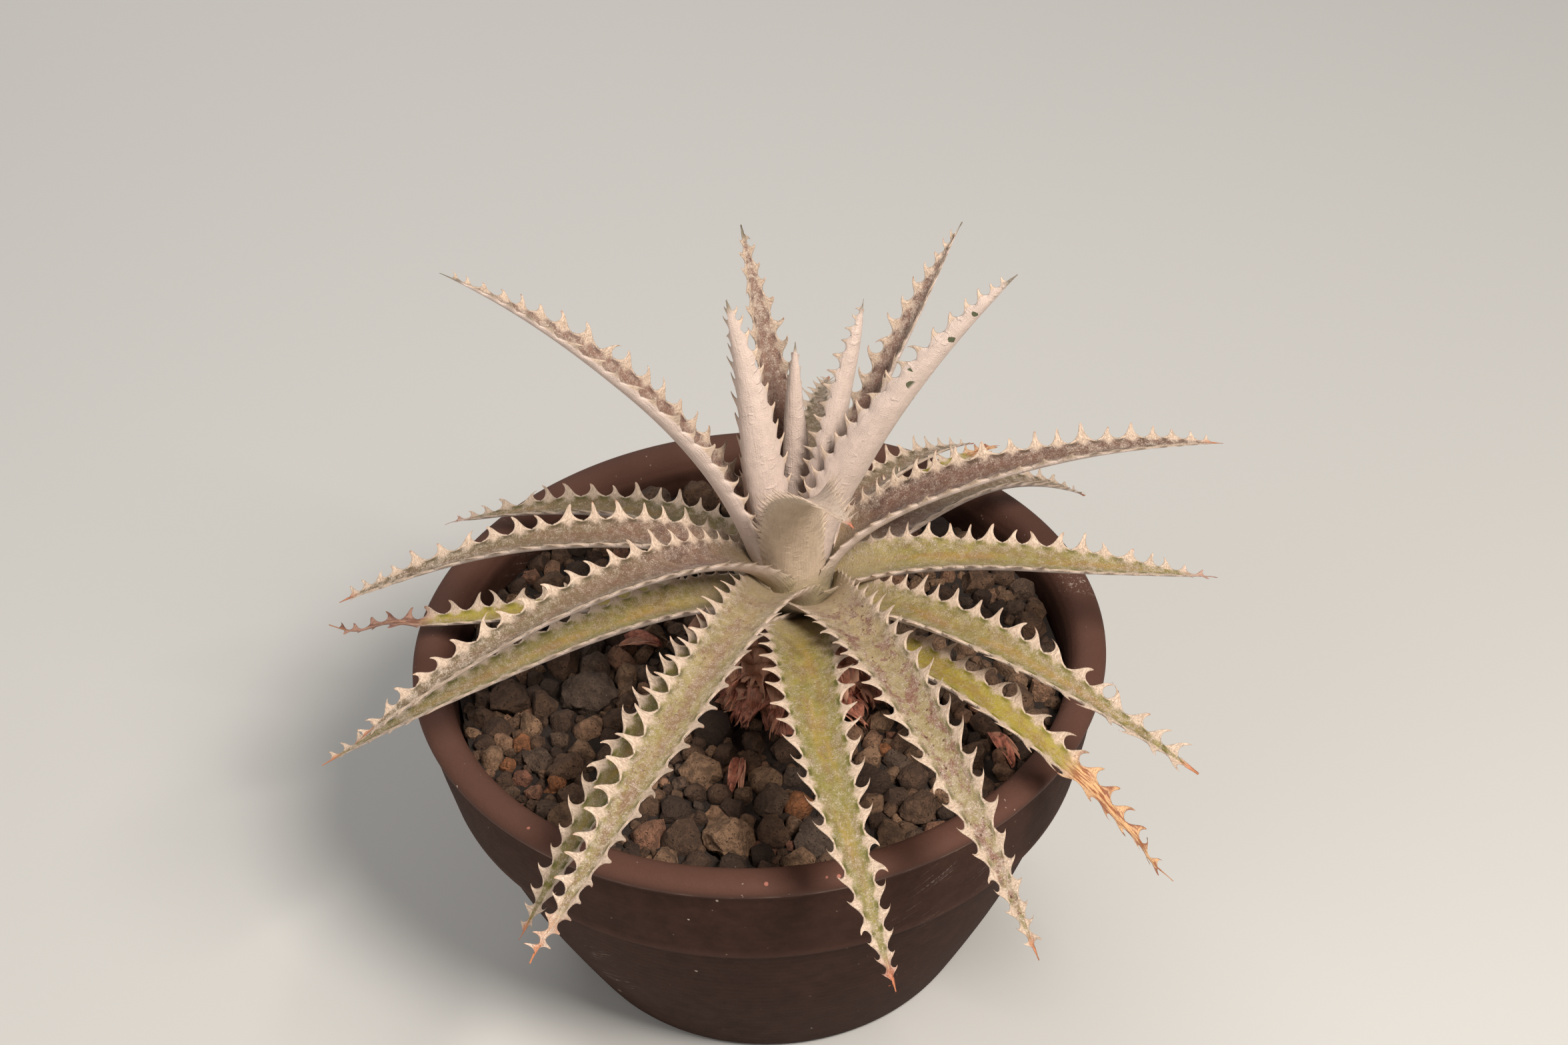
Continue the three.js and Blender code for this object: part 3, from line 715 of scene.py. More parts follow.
def make_leaf_material(name, coat):
    """A living leaf: scurfed face, felted back, horny margin and brown-tipped spines."""
    material, tree, shader = new_material(name)
    place = read_vector(tree, "leaf_place")            # across, along and face side, in mm
    across, along, spine = split(tree, read_vector(tree, "leaf_share"))
    edge, beside, withered = split(tree, read_vector(tree, "leaf_margin"))
    side = split(tree, place)[2]
    off_middle = calculate(tree, "ABSOLUTE", across)
    upper = rising(tree, side, -0.4, 0.1)
    clouds = noise(tree, place, 0.30, 4.0, 0.55)
    fine = noise(tree, place, 1.9, 3.0, 0.65)

    # the face: darker and lighter patches, a streak down the middle, a cream base
    face = blend(tree, rising(tree, clouds, 0.32, 0.68), coat.dark, coat.light)
    outward = times(tree, rising(tree, along, 0.20, 0.60), 0.70)
    face = blend(tree, outward, face, coat.far or coat.light)
    streak_place = stretched(tree, place, (0.25, 0.05, 1.0))
    streaks = rising(tree, noise(tree, streak_place, 1.0, 2.0, 0.5), 0.35, 0.60)
    middle = times(tree, rising(tree, off_middle, 0.50, 0.05), streaks)
    lengthwise = times(tree, rising(tree, along, 0.12, 0.32), rising(tree, along, 0.95, 0.7))
    middle = times(tree, times(tree, middle, lengthwise), coat.streak_strength)
    face = blend(tree, middle, face, coat.streak)
    stain_place = stretched(tree, place, (0.30, 0.14, 1.0))
    stains = rising(tree, noise(tree, stain_place, 1.0, 6.0, 0.75), 0.475, 0.565)
    stains = times(tree, stains, times(tree, rising(tree, off_middle, 0.95, 0.6), coat.stain))
    face = blend(tree, stains, face, STAIN_BROWN)
    near_base = times(tree, rising(tree, along, 0.27, 0.04), 0.75)
    face = blend(tree, near_base, face, BASE_CREAM)
    in_gap = times(tree, rising(tree, beside, 1.1, 2.3), rising(tree, edge, 1.9, 0.5))
    in_gap = times(tree, in_gap, rising(tree, along, 0.12, 0.35))
    face = over(tree, face, coat.gap, in_gap, 0.62)

    # scurf: a haze that thickens towards margins and tip, and loose scales on it
    cover = scaled(tree, calculate(tree, "POWER", off_middle, 3.0), 0.36, coat.scurf)
    cover = scaled(tree, rising(tree, along, 0.50, 0.95), coat.frosted, cover)
    cover = scaled(tree, in_gap, -0.40, cover)
    scurf = use(tree, SCURF, {"Place": place, "Per mm": 3.3, "Cover": cover})
    face = blend(tree, scurf["Mask"], face, SCURF_WHITE)
    face = over(tree, face, coat.dark, rising(tree, fine, 0.50, 0.30), 0.35)

    specks = rising(tree, noise(tree, place, 1.25, 2.0, 0.5), 0.63, 0.69)
    specks = times(tree, specks, rising(tree, clouds, 0.40, 0.55))
    face = over(tree, face, SPECK_BROWN, specks, coat.stain)

    # the pale foot of each spine, tapering into the blade, and the thin horny rim between them
    wedge = scaled(tree, beside, 0.80, edge)
    wedge = scaled(tree, fine, 1.4, wedge)
    foot = times(tree, rising(tree, wedge, 2.7, 1.5), rising(tree, along, 0.03, 0.18))
    foot = times(tree, foot, rising(tree, off_middle, 0.40, 0.66))
    rim = rising(tree, edge, 0.42, 0.12)
    horn = calculate(tree, "MAXIMUM", times(tree, foot, 0.88), rim)
    ivory = blend(tree, rising(tree, fine, 0.36, 0.56), IVORY_SHADE, IVORY)
    face = blend(tree, horn, face, ivory)

    # the felted back, with marks pressed by its neighbours and a few rubbed spots
    felt = use(tree, FELT, {"Place": place})
    back = blend(tree, felt["Shade"], coat.felt_shade, coat.felt_light)
    flat = flattened(tree, place)
    rubbed = use(tree, FLECKS, {"Place": flat, "Per mm": 0.40, "Share": 0.26, "Size": 0.40})
    bare = times(tree, rubbed["Mask"], rising(tree, edge, 0.6, 0.9))
    bare = times(tree, bare, rising(tree, edge, 3.6, 3.0))
    bare = times(tree, bare, rising(tree, along, 0.56, 0.66))
    back = over(tree, back, RUBBED_GREEN, bare, coat.rubbed)
    back = over(tree, back, BASE_OLIVE, rising(tree, along, 0.16, 0.04), 0.85)

    skin = blend(tree, upper, back, face)
    skin = blend(tree, rising(tree, edge, 0.0, -0.3), skin, ivory)
    dry_fibres = noise(tree, stretched(tree, place, (1.6, 0.25, 1.0)), 1.0, 3.0)
    dry = blend(tree, rising(tree, dry_fibres, 0.42, 0.56), coat.dry, coat.dry_pale)
    skin = over(tree, skin, dry, withered, 0.9)
    tip = times(tree, rising(tree, along, 0.945, 0.985), rising(tree, spine, 0.1, 0.0))
    skin = over(tree, skin, coat.tip, tip, 0.85)
    spine_tip = times(tree, rising(tree, spine, 0.66, 0.95), rising(tree, along, 0.10, 0.25))
    some = scaled(tree, rising(tree, noise(tree, place, 0.13, 1.0), 0.47, 0.60), 0.70, 0.12)
    skin = over(tree, skin, SPINE_TIP_BROWN, spine_tip, some)
    tree.links.new(skin, shader["Base Color"])

    dull = scaled(tree, upper, -0.22, 0.85)
    dull = scaled(tree, scurf["Mask"], 0.18, dull)
    tree.links.new(scaled(tree, horn, -0.12, dull), shader["Roughness"])
    shader["Specular IOR Level"].default_value = 0.35
    shader["Sheen Weight"].default_value = 0.04
    shader["Sheen Roughness"].default_value = 0.5

    on_face = scaled(tree, scurf["Height"], 0.6, times(tree, fine, 0.6))
    height = add(tree, "Mix", {0: upper, 2: felt["Height"], 3: on_face}).outputs[0]
    tree.links.new(bump(tree, height, LEAF_RELIEF), shader["Normal"])
    return material


def make_clay():
    """Dark unglazed clay: turning lines, grit, a rubbed pale edge under the rim, flecks and scratches."""
    material, tree, shader = new_material("fired_clay")
    place = place_in_mm(tree)
    x, y, z = split(tree, place)
    radius = calculate(tree, "SQRT", scaled(tree, x, x, times(tree, y, y)))
    broad = noise(tree, place, 0.03, 4.0, 0.6)
    clouds = noise(tree, place, 0.25, 5.0, 0.65)
    body = blend(tree, rising(tree, clouds, 0.3, 0.7), CLAY_DARK, CLAY_LIGHT)
    body = over(tree, body, CLAY_CLOUD, rising(tree, broad, 0.35, 0.7), 0.35)
    # the rim's top painted lighter than the wall: partly wear, partly a painted highlight where the light
    # falls on it
    on_rim = rising(tree, z, 79.5, 82.0)
    body = over(tree, body, RIM_WORN_AND_LIT, on_rim, 0.72)
    # the rubbed line along the rim's lower edge
    rub = times(tree, rising(tree, z, 81.1, 81.5), rising(tree, z, 83.0, 81.8))
    rub = times(tree, rub, rising(tree, radius, 77.0, 78.2))
    uneven = rising(tree, noise(tree, place, 0.12, 3.0), 0.42, 0.62)
    rub = times(tree, rub, uneven)
    body = over(tree, body, RUBBED_CLAY, rub, 0.7)
    # and the lower edge of the band above the step
    worn = times(tree, rising(tree, z, 57.5, 57.9), rising(tree, z, 61.5, 58.2))
    body = over(tree, body, WORN_CLAY, worn, 0.35)
    # flecks of pale and orange grog
    pale = use(tree, FLECKS, {"Place": place, "Per mm": 0.16, "Share": 0.14, "Size": 0.05})
    body = over(tree, body, PALE_GROG, pale["Mask"], 0.8)
    shifted = add(tree, "Mapping", {"Vector": place, "Location": (31.0, 17.0, 53.0)}).outputs[0]
    warm = use(tree, FLECKS, {"Place": shifted, "Per mm": 0.09, "Share": 0.10, "Size": 0.06})
    body = blend(tree, warm["Mask"], body, ORANGE_GROG)
    dust = use(tree, FLECKS, {"Place": place, "Per mm": 0.45, "Share": 0.20, "Size": 0.07})
    body = over(tree, body, CLAY_DUST, dust["Mask"], 0.35)
    rim_dust = use(tree, FLECKS, {"Place": shifted, "Per mm": 0.50, "Share": 0.30, "Size": 0.08})
    rim_dust = times(tree, rim_dust["Mask"], on_rim)
    body = over(tree, body, RIM_DUST, rim_dust, 0.5)
    for chip in RIM_CHIPS:
        away = distance(tree, place, chip)
        away = scaled(tree, clouds, 1.2, away)
        body = over(tree, body, CHIP_PINK, rising(tree, away, 1.10, 0.85), 0.8)
    from_scuff = distance(tree, place, RIM_SCUFF)
    crumbs = rising(tree, noise(tree, place, 1.5, 3.0, 0.7), 0.56, 0.64)
    crumbs = times(tree, crumbs, rising(tree, from_scuff, 8.0, 2.0))
    body = over(tree, body, RIM_CRUMBS, crumbs, 0.6)
    # chalky scratches in a few places
    round_wall = times(tree, calculate(tree, "ARCTAN2", x, times(tree, y, -1.0)), 72.0)
    down = scaled(tree, round_wall, -0.55, z)
    along_strokes, across_strokes = times(tree, round_wall, 0.07), times(tree, down, 1.3)
    slanted = add(tree, "CombineXYZ", {0: along_strokes, 1: across_strokes}).outputs[0]
    strokes = rising(tree, noise(tree, slanted, 1.0, 3.0, 0.6), 0.56, 0.70)
    strokes = times(tree, strokes, rising(tree, noise(tree, place, 1.6, 2.0), 0.40, 0.60))
    where = rising(tree, noise(tree, place, 0.035, 1.0), 0.66, 0.74)
    from_smear = distance(tree, place, CHALK_SMEAR)
    where = calculate(tree, "MAXIMUM", where, rising(tree, from_smear, 20.0, 5.0))
    chalk = times(tree, strokes, where)
    body = over(tree, body, CHALK, chalk, 0.45)
    tree.links.new(body, shader["Base Color"])

    grit = noise(tree, place, 2.2, 5.0, 0.7)
    dull = scaled(tree, grit, 0.25, 0.62)
    tree.links.new(scaled(tree, on_rim, -0.12, dull), shader["Roughness"])
    shader["Specular IOR Level"].default_value = 0.12

    turning = calculate(tree, "SINE", scaled(tree, clouds, 1.5, times(tree, z, 3.1)))
    height = scaled(tree, turning, 0.10, grit)
    height = scaled(tree, clouds, 0.9, height)
    tree.links.new(bump(tree, height, CLAY_RELIEF), shader["Normal"])
    return material


def make_gravel(name):
    """Dry porous grains. Each grain's tint picks its colour from grey and brown to tan and orange."""
    material, tree, shader = new_material(name)
    place = place_in_mm(tree)
    tint = read_value(tree, "tint")
    mineral = use(tree, MINERAL, {"Place": place, "Per mm": 0.9})
    shades = add(tree, "ValToRGB", {0: tint})
    stops = shades.color_ramp.elements
    stops[0].position, stops[0].color = 0.0, colour((0.044, 0.027, 0.0185))
    stops[1].position, stops[1].color = 1.0, colour((0.34, 0.135, 0.055))
    for position, rgb in [
        (0.12, (0.080, 0.046, 0.030)), (0.40, (0.158, 0.088, 0.052)), (0.50, (0.102, 0.070, 0.052)),
        (0.62, (0.174, 0.100, 0.060)), (0.80, (0.32, 0.190, 0.112)), (0.92, (0.26, 0.11, 0.070)),
        (0.955, (0.31, 0.125, 0.055)),
    ]:
        stop = stops.new(position)
        stop.color = colour(rgb)
    deep = blend(tree, 0.60, shades.outputs[0], GRAIN_DEEP)
    body = blend(tree, rising(tree, mineral["Patches"], 0.36, 0.60), deep, shades.outputs[0])
    # the pits painted nearly black: painted shade inside them
    body = over(tree, body, GRAIN_PIT_SHADE, mineral["Pores"], 0.8)
    dust = use(tree, FLECKS, {"Place": place, "Per mm": 0.9, "Share": 0.12, "Size": 0.10})
    body = over(tree, body, GRAIN_DUST, dust["Mask"], 0.45)
    tree.links.new(body, shader["Base Color"])
    tree.links.new(scaled(tree, mineral["Patches"], 0.2, 0.78), shader["Roughness"])
    shader["Specular IOR Level"].default_value = 0.3
    tree.links.new(bump(tree, mineral["Height"], GRAIN_RELIEF), shader["Normal"])
    return material


def make_dry_leaf():
    """Dry papery leaf remains, ribbed and reddish brown, paler at their frayed ends."""
    material, tree, shader = new_material("dry_leaf")
    place = read_vector(tree, "leaf_place")
    along = split(tree, read_vector(tree, "leaf_share"))[1]
    tint = read_value(tree, "tint")
    fibres = noise(tree, stretched(tree, place, (1.5, 0.50, 1.0)), 1.0, 5.0, 0.70)
    blotches = noise(tree, place, 0.4, 4.0, 0.6)
    body = blend(tree, rising(tree, fibres, 0.36, 0.64), DRY_DARK, DRY_LIGHT)
    body = over(tree, body, DRY_BLOTCH, rising(tree, blotches, 0.5, 0.7), 0.5)
    body = over(tree, body, DRY_FADED, tint, 0.7)
    body = over(tree, body, DRY_FRAYED, rising(tree, along, 0.7, 1.0), 0.40)
    tree.links.new(body, shader["Base Color"])
    tree.links.new(scaled(tree, fibres, 0.25, 0.5), shader["Roughness"])
    tree.links.new(bump(tree, fibres, DRY_RELIEF), shader["Normal"])
    return material


def make_bark():
    """The stem: dry, scarred and dark."""
    material, tree, shader = new_material("stem_bark")
    place = place_in_mm(tree)
    rings = noise(tree, stretched(tree, place, (0.5, 0.5, 1.6)), 1.0, 4.0, 0.65)
    body = blend(tree, rings, BARK_DARK, BARK_LIGHT)
    tree.links.new(body, shader["Base Color"])
    shader["Roughness"].default_value = 0.9
    tree.links.new(bump(tree, rings, BARK_RELIEF), shader["Normal"])
    return material


def make_bed_fill():
    """The fine dark grit deep between the grains."""
    material, tree, shader = new_material("bed_fill")
    place = place_in_mm(tree)
    mineral = use(tree, MINERAL, {"Place": place, "Per mm": 1.2})
    body = blend(tree, mineral["Patches"], FILL_DARK, FILL_LIGHT)
    # the pits painted darker still: painted shade inside them
    body = blend(tree, mineral["Pores"], body, FILL_PIT_SHADE)
    tree.links.new(body, shader["Base Color"])
    shader["Roughness"].default_value = 0.95
    tree.links.new(bump(tree, mineral["Height"], FILL_RELIEF), shader["Normal"])
    return material


CLAY = make_clay()
GRAVEL = make_gravel("gravel_grains")
ROCK = make_gravel("loose_stone")
DRY_LEAF = make_dry_leaf()
LEAF_COATS = {name: make_leaf_material("leaf_" + name, coat) for name, coat in COATS.items()}

# ---------------------------------------------------------------- pot


def make_pot():
    """The pot is drawn up ring by ring from its underside, over the rim and down to its floor."""
    height, radius = POT_RINGS[0]
    bpy.ops.object.select_all(action="DESELECT")
    bpy.ops.mesh.primitive_circle_add(vertices=POT_FACETS, radius=radius, location=(0, 0, height))
    pot = name_new("clay_pot")
    with editing(pot):
        select_whole()
        for next_height, next_radius in POT_RINGS[1:]:
            bpy.ops.mesh.extrude_region_move(TRANSFORM_OT_translate={"value": (0, 0, next_height - height)})
            scale = next_radius / radius
            bpy.ops.transform.resize(value=(scale, scale, 1), center_override=(0, 0, 0))
            height, radius = next_height, next_radius
        bpy.ops.mesh.extrude_region()
        bpy.ops.mesh.merge(type="CENTER")
        foot = POT_RINGS[0][0]
        pick_edges(pot, lambda co: abs(co.z - foot) < 0.01 and co.xy.length > 40)
        bpy.ops.mesh.extrude_region()
        bpy.ops.transform.resize(value=(0.5, 0.5, 1), center_override=(0, 0, 0))
        bpy.ops.mesh.extrude_region()
        bpy.ops.mesh.merge(type="CENTER")
        select_whole()
        bpy.ops.mesh.normals_make_consistent(inside=False)
    subdivide_smoothly(pot, 1)
    for i in range(DRAIN_COUNT):
        angle = FULL_TURN * i / DRAIN_COUNT + math.pi / 2
        place = (DRAIN_OFFSET * math.cos(angle), DRAIN_OFFSET * math.sin(angle), 4)
        bpy.ops.mesh.primitive_cylinder_add(vertices=32, radius=DRAIN_RADIUS, depth=20, location=place)
        drill = name_new("drill")
        apply_modifier(pot, "BOOLEAN", operation="DIFFERENCE", object=drill, solver="EXACT")
        discard(drill)
    return finish_piece(pot, CLAY, ["pot"], sharp=40)


# ---------------------------------------------------------------- gravel and stones


def bed_height(x, y):
    reach = math.hypot(x - STEM_AXIS[0], y - STEM_AXIS[1]) / RIM_RADIUS
    return BED_HEIGHT + BED_MOUND * max(0.0, 1 - reach)


def make_rock(name, seed, fineness, cuts, roughness):
    """A broken pebble of radius 1: a ball made lumpy, then split flat on a few sides."""
    random = np.random.default_rng(seed)
    bpy.ops.object.select_all(action="DESELECT")
    bpy.ops.mesh.primitive_ico_sphere_add(subdivisions=fineness, radius=1)
    rock = name_new(name)
    lumps = bpy.data.textures.new(name + "_lumps", "CLOUDS")
    lumps.noise_scale = 0.9 + 0.1 * (seed % 3)
    with editing(rock):
        select_whole()
        bpy.ops.transform.translate(value=(7.0 * seed, 0, 0))
    apply_modifier(rock, "DISPLACE", texture=lumps, strength=1.1, mid_level=0.5, texture_coords="LOCAL")
    with editing(rock):
        select_whole()
        bpy.ops.transform.translate(value=(-7.0 * seed, 0, 0))
        bpy.ops.transform.vertex_random(offset=roughness, uniform=0.4, normal=0.6, seed=seed)
        for _ in range(cuts):
            direction = random.normal(size=3)
            direction /= np.linalg.norm(direction)
            depth = random.uniform(0.60, 0.95)
            select_whole()
            bpy.ops.mesh.bisect(
                plane_co=tuple(direction * depth), plane_no=tuple(direction),
                use_fill=True, clear_outer=True,
            )
        select_whole()
        bpy.ops.mesh.remove_doubles(threshold=0.02)
        bpy.ops.mesh.normals_make_consistent(inside=False)
    places = vertices_of(rock)
    places -= (places.max(0) + places.min(0)) / 2
    places *= 2 / np.ptp(places, axis=0).mean()
    move_vertices(rock, places)
    return rock


def close_seams(piece):
    """Cuts out the knots that rounded edges leave where they meet, and fills the small holes."""
    with editing(piece):
        bpy.ops.mesh.select_mode(type="VERT")
        for _ in range(3):
            bpy.ops.mesh.select_all(action="DESELECT")
            bpy.ops.mesh.select_non_manifold()
            bpy.ops.mesh.delete(type="VERT")
            select_whole()
            bpy.ops.mesh.fill_holes(sides=0)
            bpy.ops.mesh.quads_convert_to_tris()
        bpy.ops.mesh.normals_make_consistent(inside=False)


def rough_stone(name, seed):
    """A large stone: the same as a grain, but fine enough to carry its own dents and pits."""
    rock = make_rock(name, seed, 3, 4, 0.04)
    apply_modifier(rock, "BEVEL", width=0.05, segments=2, limit_method="ANGLE", angle_limit=0.6)
    with editing(rock):
        select_whole()
        bpy.ops.mesh.quads_convert_to_tris()
        bpy.ops.mesh.subdivide(number_cuts=2)
        bpy.ops.mesh.remove_doubles(threshold=0.004)
    close_seams(rock)
    dents = bpy.data.textures.new(name + "_dents", "CLOUDS")
    dents.noise_scale, dents.noise_depth = 0.35, 4
    apply_modifier(rock, "DISPLACE", texture=dents, strength=0.20, mid_level=0.5, texture_coords="LOCAL")
    return rock


def make_stones():
    for index, (name, x, y, radius, squash, tint, seed) in enumerate(STONES):
        stone = rough_stone("loose_" + name, seed)
        places = vertices_of(stone) * (radius, radius * 0.9, radius * squash)
        turn = Matrix.Rotation(index + 5, 3, "Z")
        places = places @ np.array(turn).T
        places += (x, y, bed_height(x, y) + radius * squash * STONE_STAND)
        move_vertices(stone, places)
        store_values(stone, "tint", np.full(len(places), tint))
        finish_piece(stone, ROCK, [name], sharp=50)


def scatter_grains():
    """Places of all grains: big ones first, each clear of those before it, in two layers."""
    random = np.random.default_rng(12)
    placed = [(x, y, radius * 0.95, 1) for _, x, y, radius, *_ in STONES]
    grains = []

    def try_place(x, y, radius, layer, tint, closeness):
        if math.hypot(x, y) > BED_RADIUS + 0.9 - radius:
            return
        if math.hypot(x - STEM_AXIS[0], y - STEM_AXIS[1]) < STEM_MAX_RADIUS - 1:
            return
        for other_x, other_y, other_radius, other_layer in placed:
            least = closeness * (radius + other_radius)
            if other_layer == layer and math.hypot(x - other_x, y - other_y) < least:
                return
        placed.append((x, y, radius, layer))
        height = bed_height(x, y) + (radius * 0.15 if layer else -2.6 - radius * 0.2)
        grains.append((x, y, height, radius, tint))

    for x, y, radius in ORANGE_GRAINS:
        try_place(x, y, radius, 1, random.uniform(0.965, 1.0), 0.5)
    for low, high, tries in GRAIN_SIZES:
        for layer in (1, 0):
            for _ in range(tries):
                angle = random.uniform(0, FULL_TURN)
                reach = (BED_RADIUS - low) * math.sqrt(random.uniform(0, 1))
                radius = random.uniform(low, high)
                tint = random.uniform(0, 0.9) if random.uniform() < PLAIN_SHARE else random.uniform(0.9, 1.0)
                x, y = reach * math.cos(angle), reach * math.sin(angle)
                try_place(x, y, radius, layer, tint, GRAIN_CLOSENESS)
    return grains


def make_grains():
    kinds = [make_rock("grain_kind", 20 + i, 2, 3 + i % 4, 0.13) for i in range(GRAIN_KINDS)]
    shapes = [vertices_of(kind) for kind in kinds]
    random = np.random.default_rng(5)
    grains = scatter_grains()
    for quarter in range(4):
        copies = []
        for x, y, height, radius, tint in grains:
            if int((math.atan2(y, x) / math.pi + 1) * 2) % 4 != quarter:
                continue
            kind = int(random.integers(len(kinds)))
            turn = Euler(random.uniform(0, FULL_TURN, 3)).to_matrix()
            size = radius * random.uniform(0.88, 1.14, 3)
            grain = copy_piece(kinds[kind], "grain")
            move_vertices(grain, (shapes[kind] * size) @ np.array(turn).T + (x, y, height))
            store_values(grain, "tint", np.full(len(shapes[kind]), tint))
            copies.append(grain)
        sheet = join(copies, f"gravel_grains_{quarter + 1}")
        finish_piece(sheet, GRAVEL, sharp=42)
    for kind in kinds:
        discard(kind)


# ---------------------------------------------------------------- leaves


def model_blade(spines):
    """A flat leaf blade lying along +Y, with its face up and a row of spines drawn from each margin."""
    rows = spines * ROWS_PER_SPINE
    length = spines * SPINE_PITCH
    bpy.ops.object.select_all(action="DESELECT")
    bpy.ops.mesh.primitive_grid_add(x_subdivisions=BLADE_COLUMNS, y_subdivisions=rows, size=1)
    blade = name_new("blade")
    with editing(blade):
        select_whole()
        bpy.ops.transform.resize(value=(BLADE_WIDTH, length, 1))
        bpy.ops.transform.translate(value=(0, length / 2, BLADE_THICKNESS / 2))
        bpy.ops.mesh.extrude_region_move(TRANSFORM_OT_translate={"value": (0, 0, -BLADE_THICKNESS)})
        select_whole()
        bpy.ops.mesh.normals_make_consistent(inside=False)

        def is_root(middle, normal):
            number, phase = divmod(middle.y / SPINE_PITCH, 1)
            return abs(normal.x) > 0.9 and 1 <= number < spines - 1 and abs(phase - 0.5) < ROOT_HALF

        pick_faces(blade, is_root)
        for inset, depth in SPINE_STEPS:
            bpy.ops.mesh.inset(thickness=inset, depth=depth, use_even_offset=True)
        bpy.ops.mesh.inset(thickness=0.02, depth=SPINE_TIP)
        bpy.ops.mesh.merge(type="COLLAPSE")
    subdivide_smoothly(blade, 1)
    return blade


def stem_radius(foot):
    return min(STEM_MAX_RADIUS, STEM_TIP_RADIUS + STEM_FLARE * foot)


def by_stem(reach, direction, foot):
    """The point at a reach from the stem's axis and a foot below its top."""
    return (
        STEM_AXIS[0] + reach * math.cos(direction),
        STEM_AXIS[1] + reach * math.sin(direction),
        STEM_TOP - foot,
    )


def spine_marks(leaf, spines, random):
    """Where each spine's stretch of the left and right margin begins, as shares of the leaf."""
    middles = (np.arange(spines) + 0.5) / spines
    stretch = 1 + leaf.spread * (1.1 * smooth_step(0, 0.6, middles) - 0.45)
    stretch = stretch * (1 - leaf.fading * smooth_step(0.70, 1.0, middles))
    marks = np.concatenate([[0], np.cumsum(stretch)]) / stretch.sum()
    shift = random.uniform(-SPINE_UNEVENNESS, SPINE_UNEVENNESS, (2, spines + 1))
    shift[1] += SPINE_STAGGER
    shift[:, [0, -1]] = 0
    return marks + shift * np.gradient(marks)


def leaf_line(leaf):
    """Shares of the leaf's length, with its points and directions along, right and of its face."""
    share = np.linspace(0, 1, LINE_STEPS + 1)

    def growth(s):
        pitch = np.radians(leaf.rise + (leaf.fall - leaf.rise) * s + leaf.lift * np.exp(-s / LIFT_FADE))
        heading = np.radians(leaf.azimuth + leaf.sweep * s)
        return np.stack([np.cos(pitch) * np.cos(heading), np.cos(pitch) * np.sin(heading), np.sin(pitch)], 1)

    azimuth = math.radians(leaf.azimuth)
    rooted = stem_radius(leaf.foot) - LEAF_ROOTING
    start = by_stem(rooted, azimuth, leaf.foot)
    steps = growth((share[1:] + share[:-1]) / 2) * leaf.length / LINE_STEPS
    points = np.vstack([[0, 0, 0], np.cumsum(steps, 0)]) + start
    tangent = growth(share)
    heading = np.radians(leaf.azimuth + leaf.sweep * share)
    right = np.stack([np.sin(heading), -np.cos(heading), np.zeros_like(heading)], 1)
    face = np.cross(right, tangent)
    roll = math.radians(leaf.roll) * smooth_step(0.05, 0.40, share)
    roll = roll + np.maximum(0, share - leaf.withered) * WITHERED_TWIST
    cos, sin = np.cos(roll)[:, None], np.sin(roll)[:, None]
    return share, points, tangent, right * cos + face * sin, face * cos - right * sin


def along_line(share, values, at):
    return np.stack([np.interp(at, share, values[:, i]) for i in range(values.shape[1])], 1)


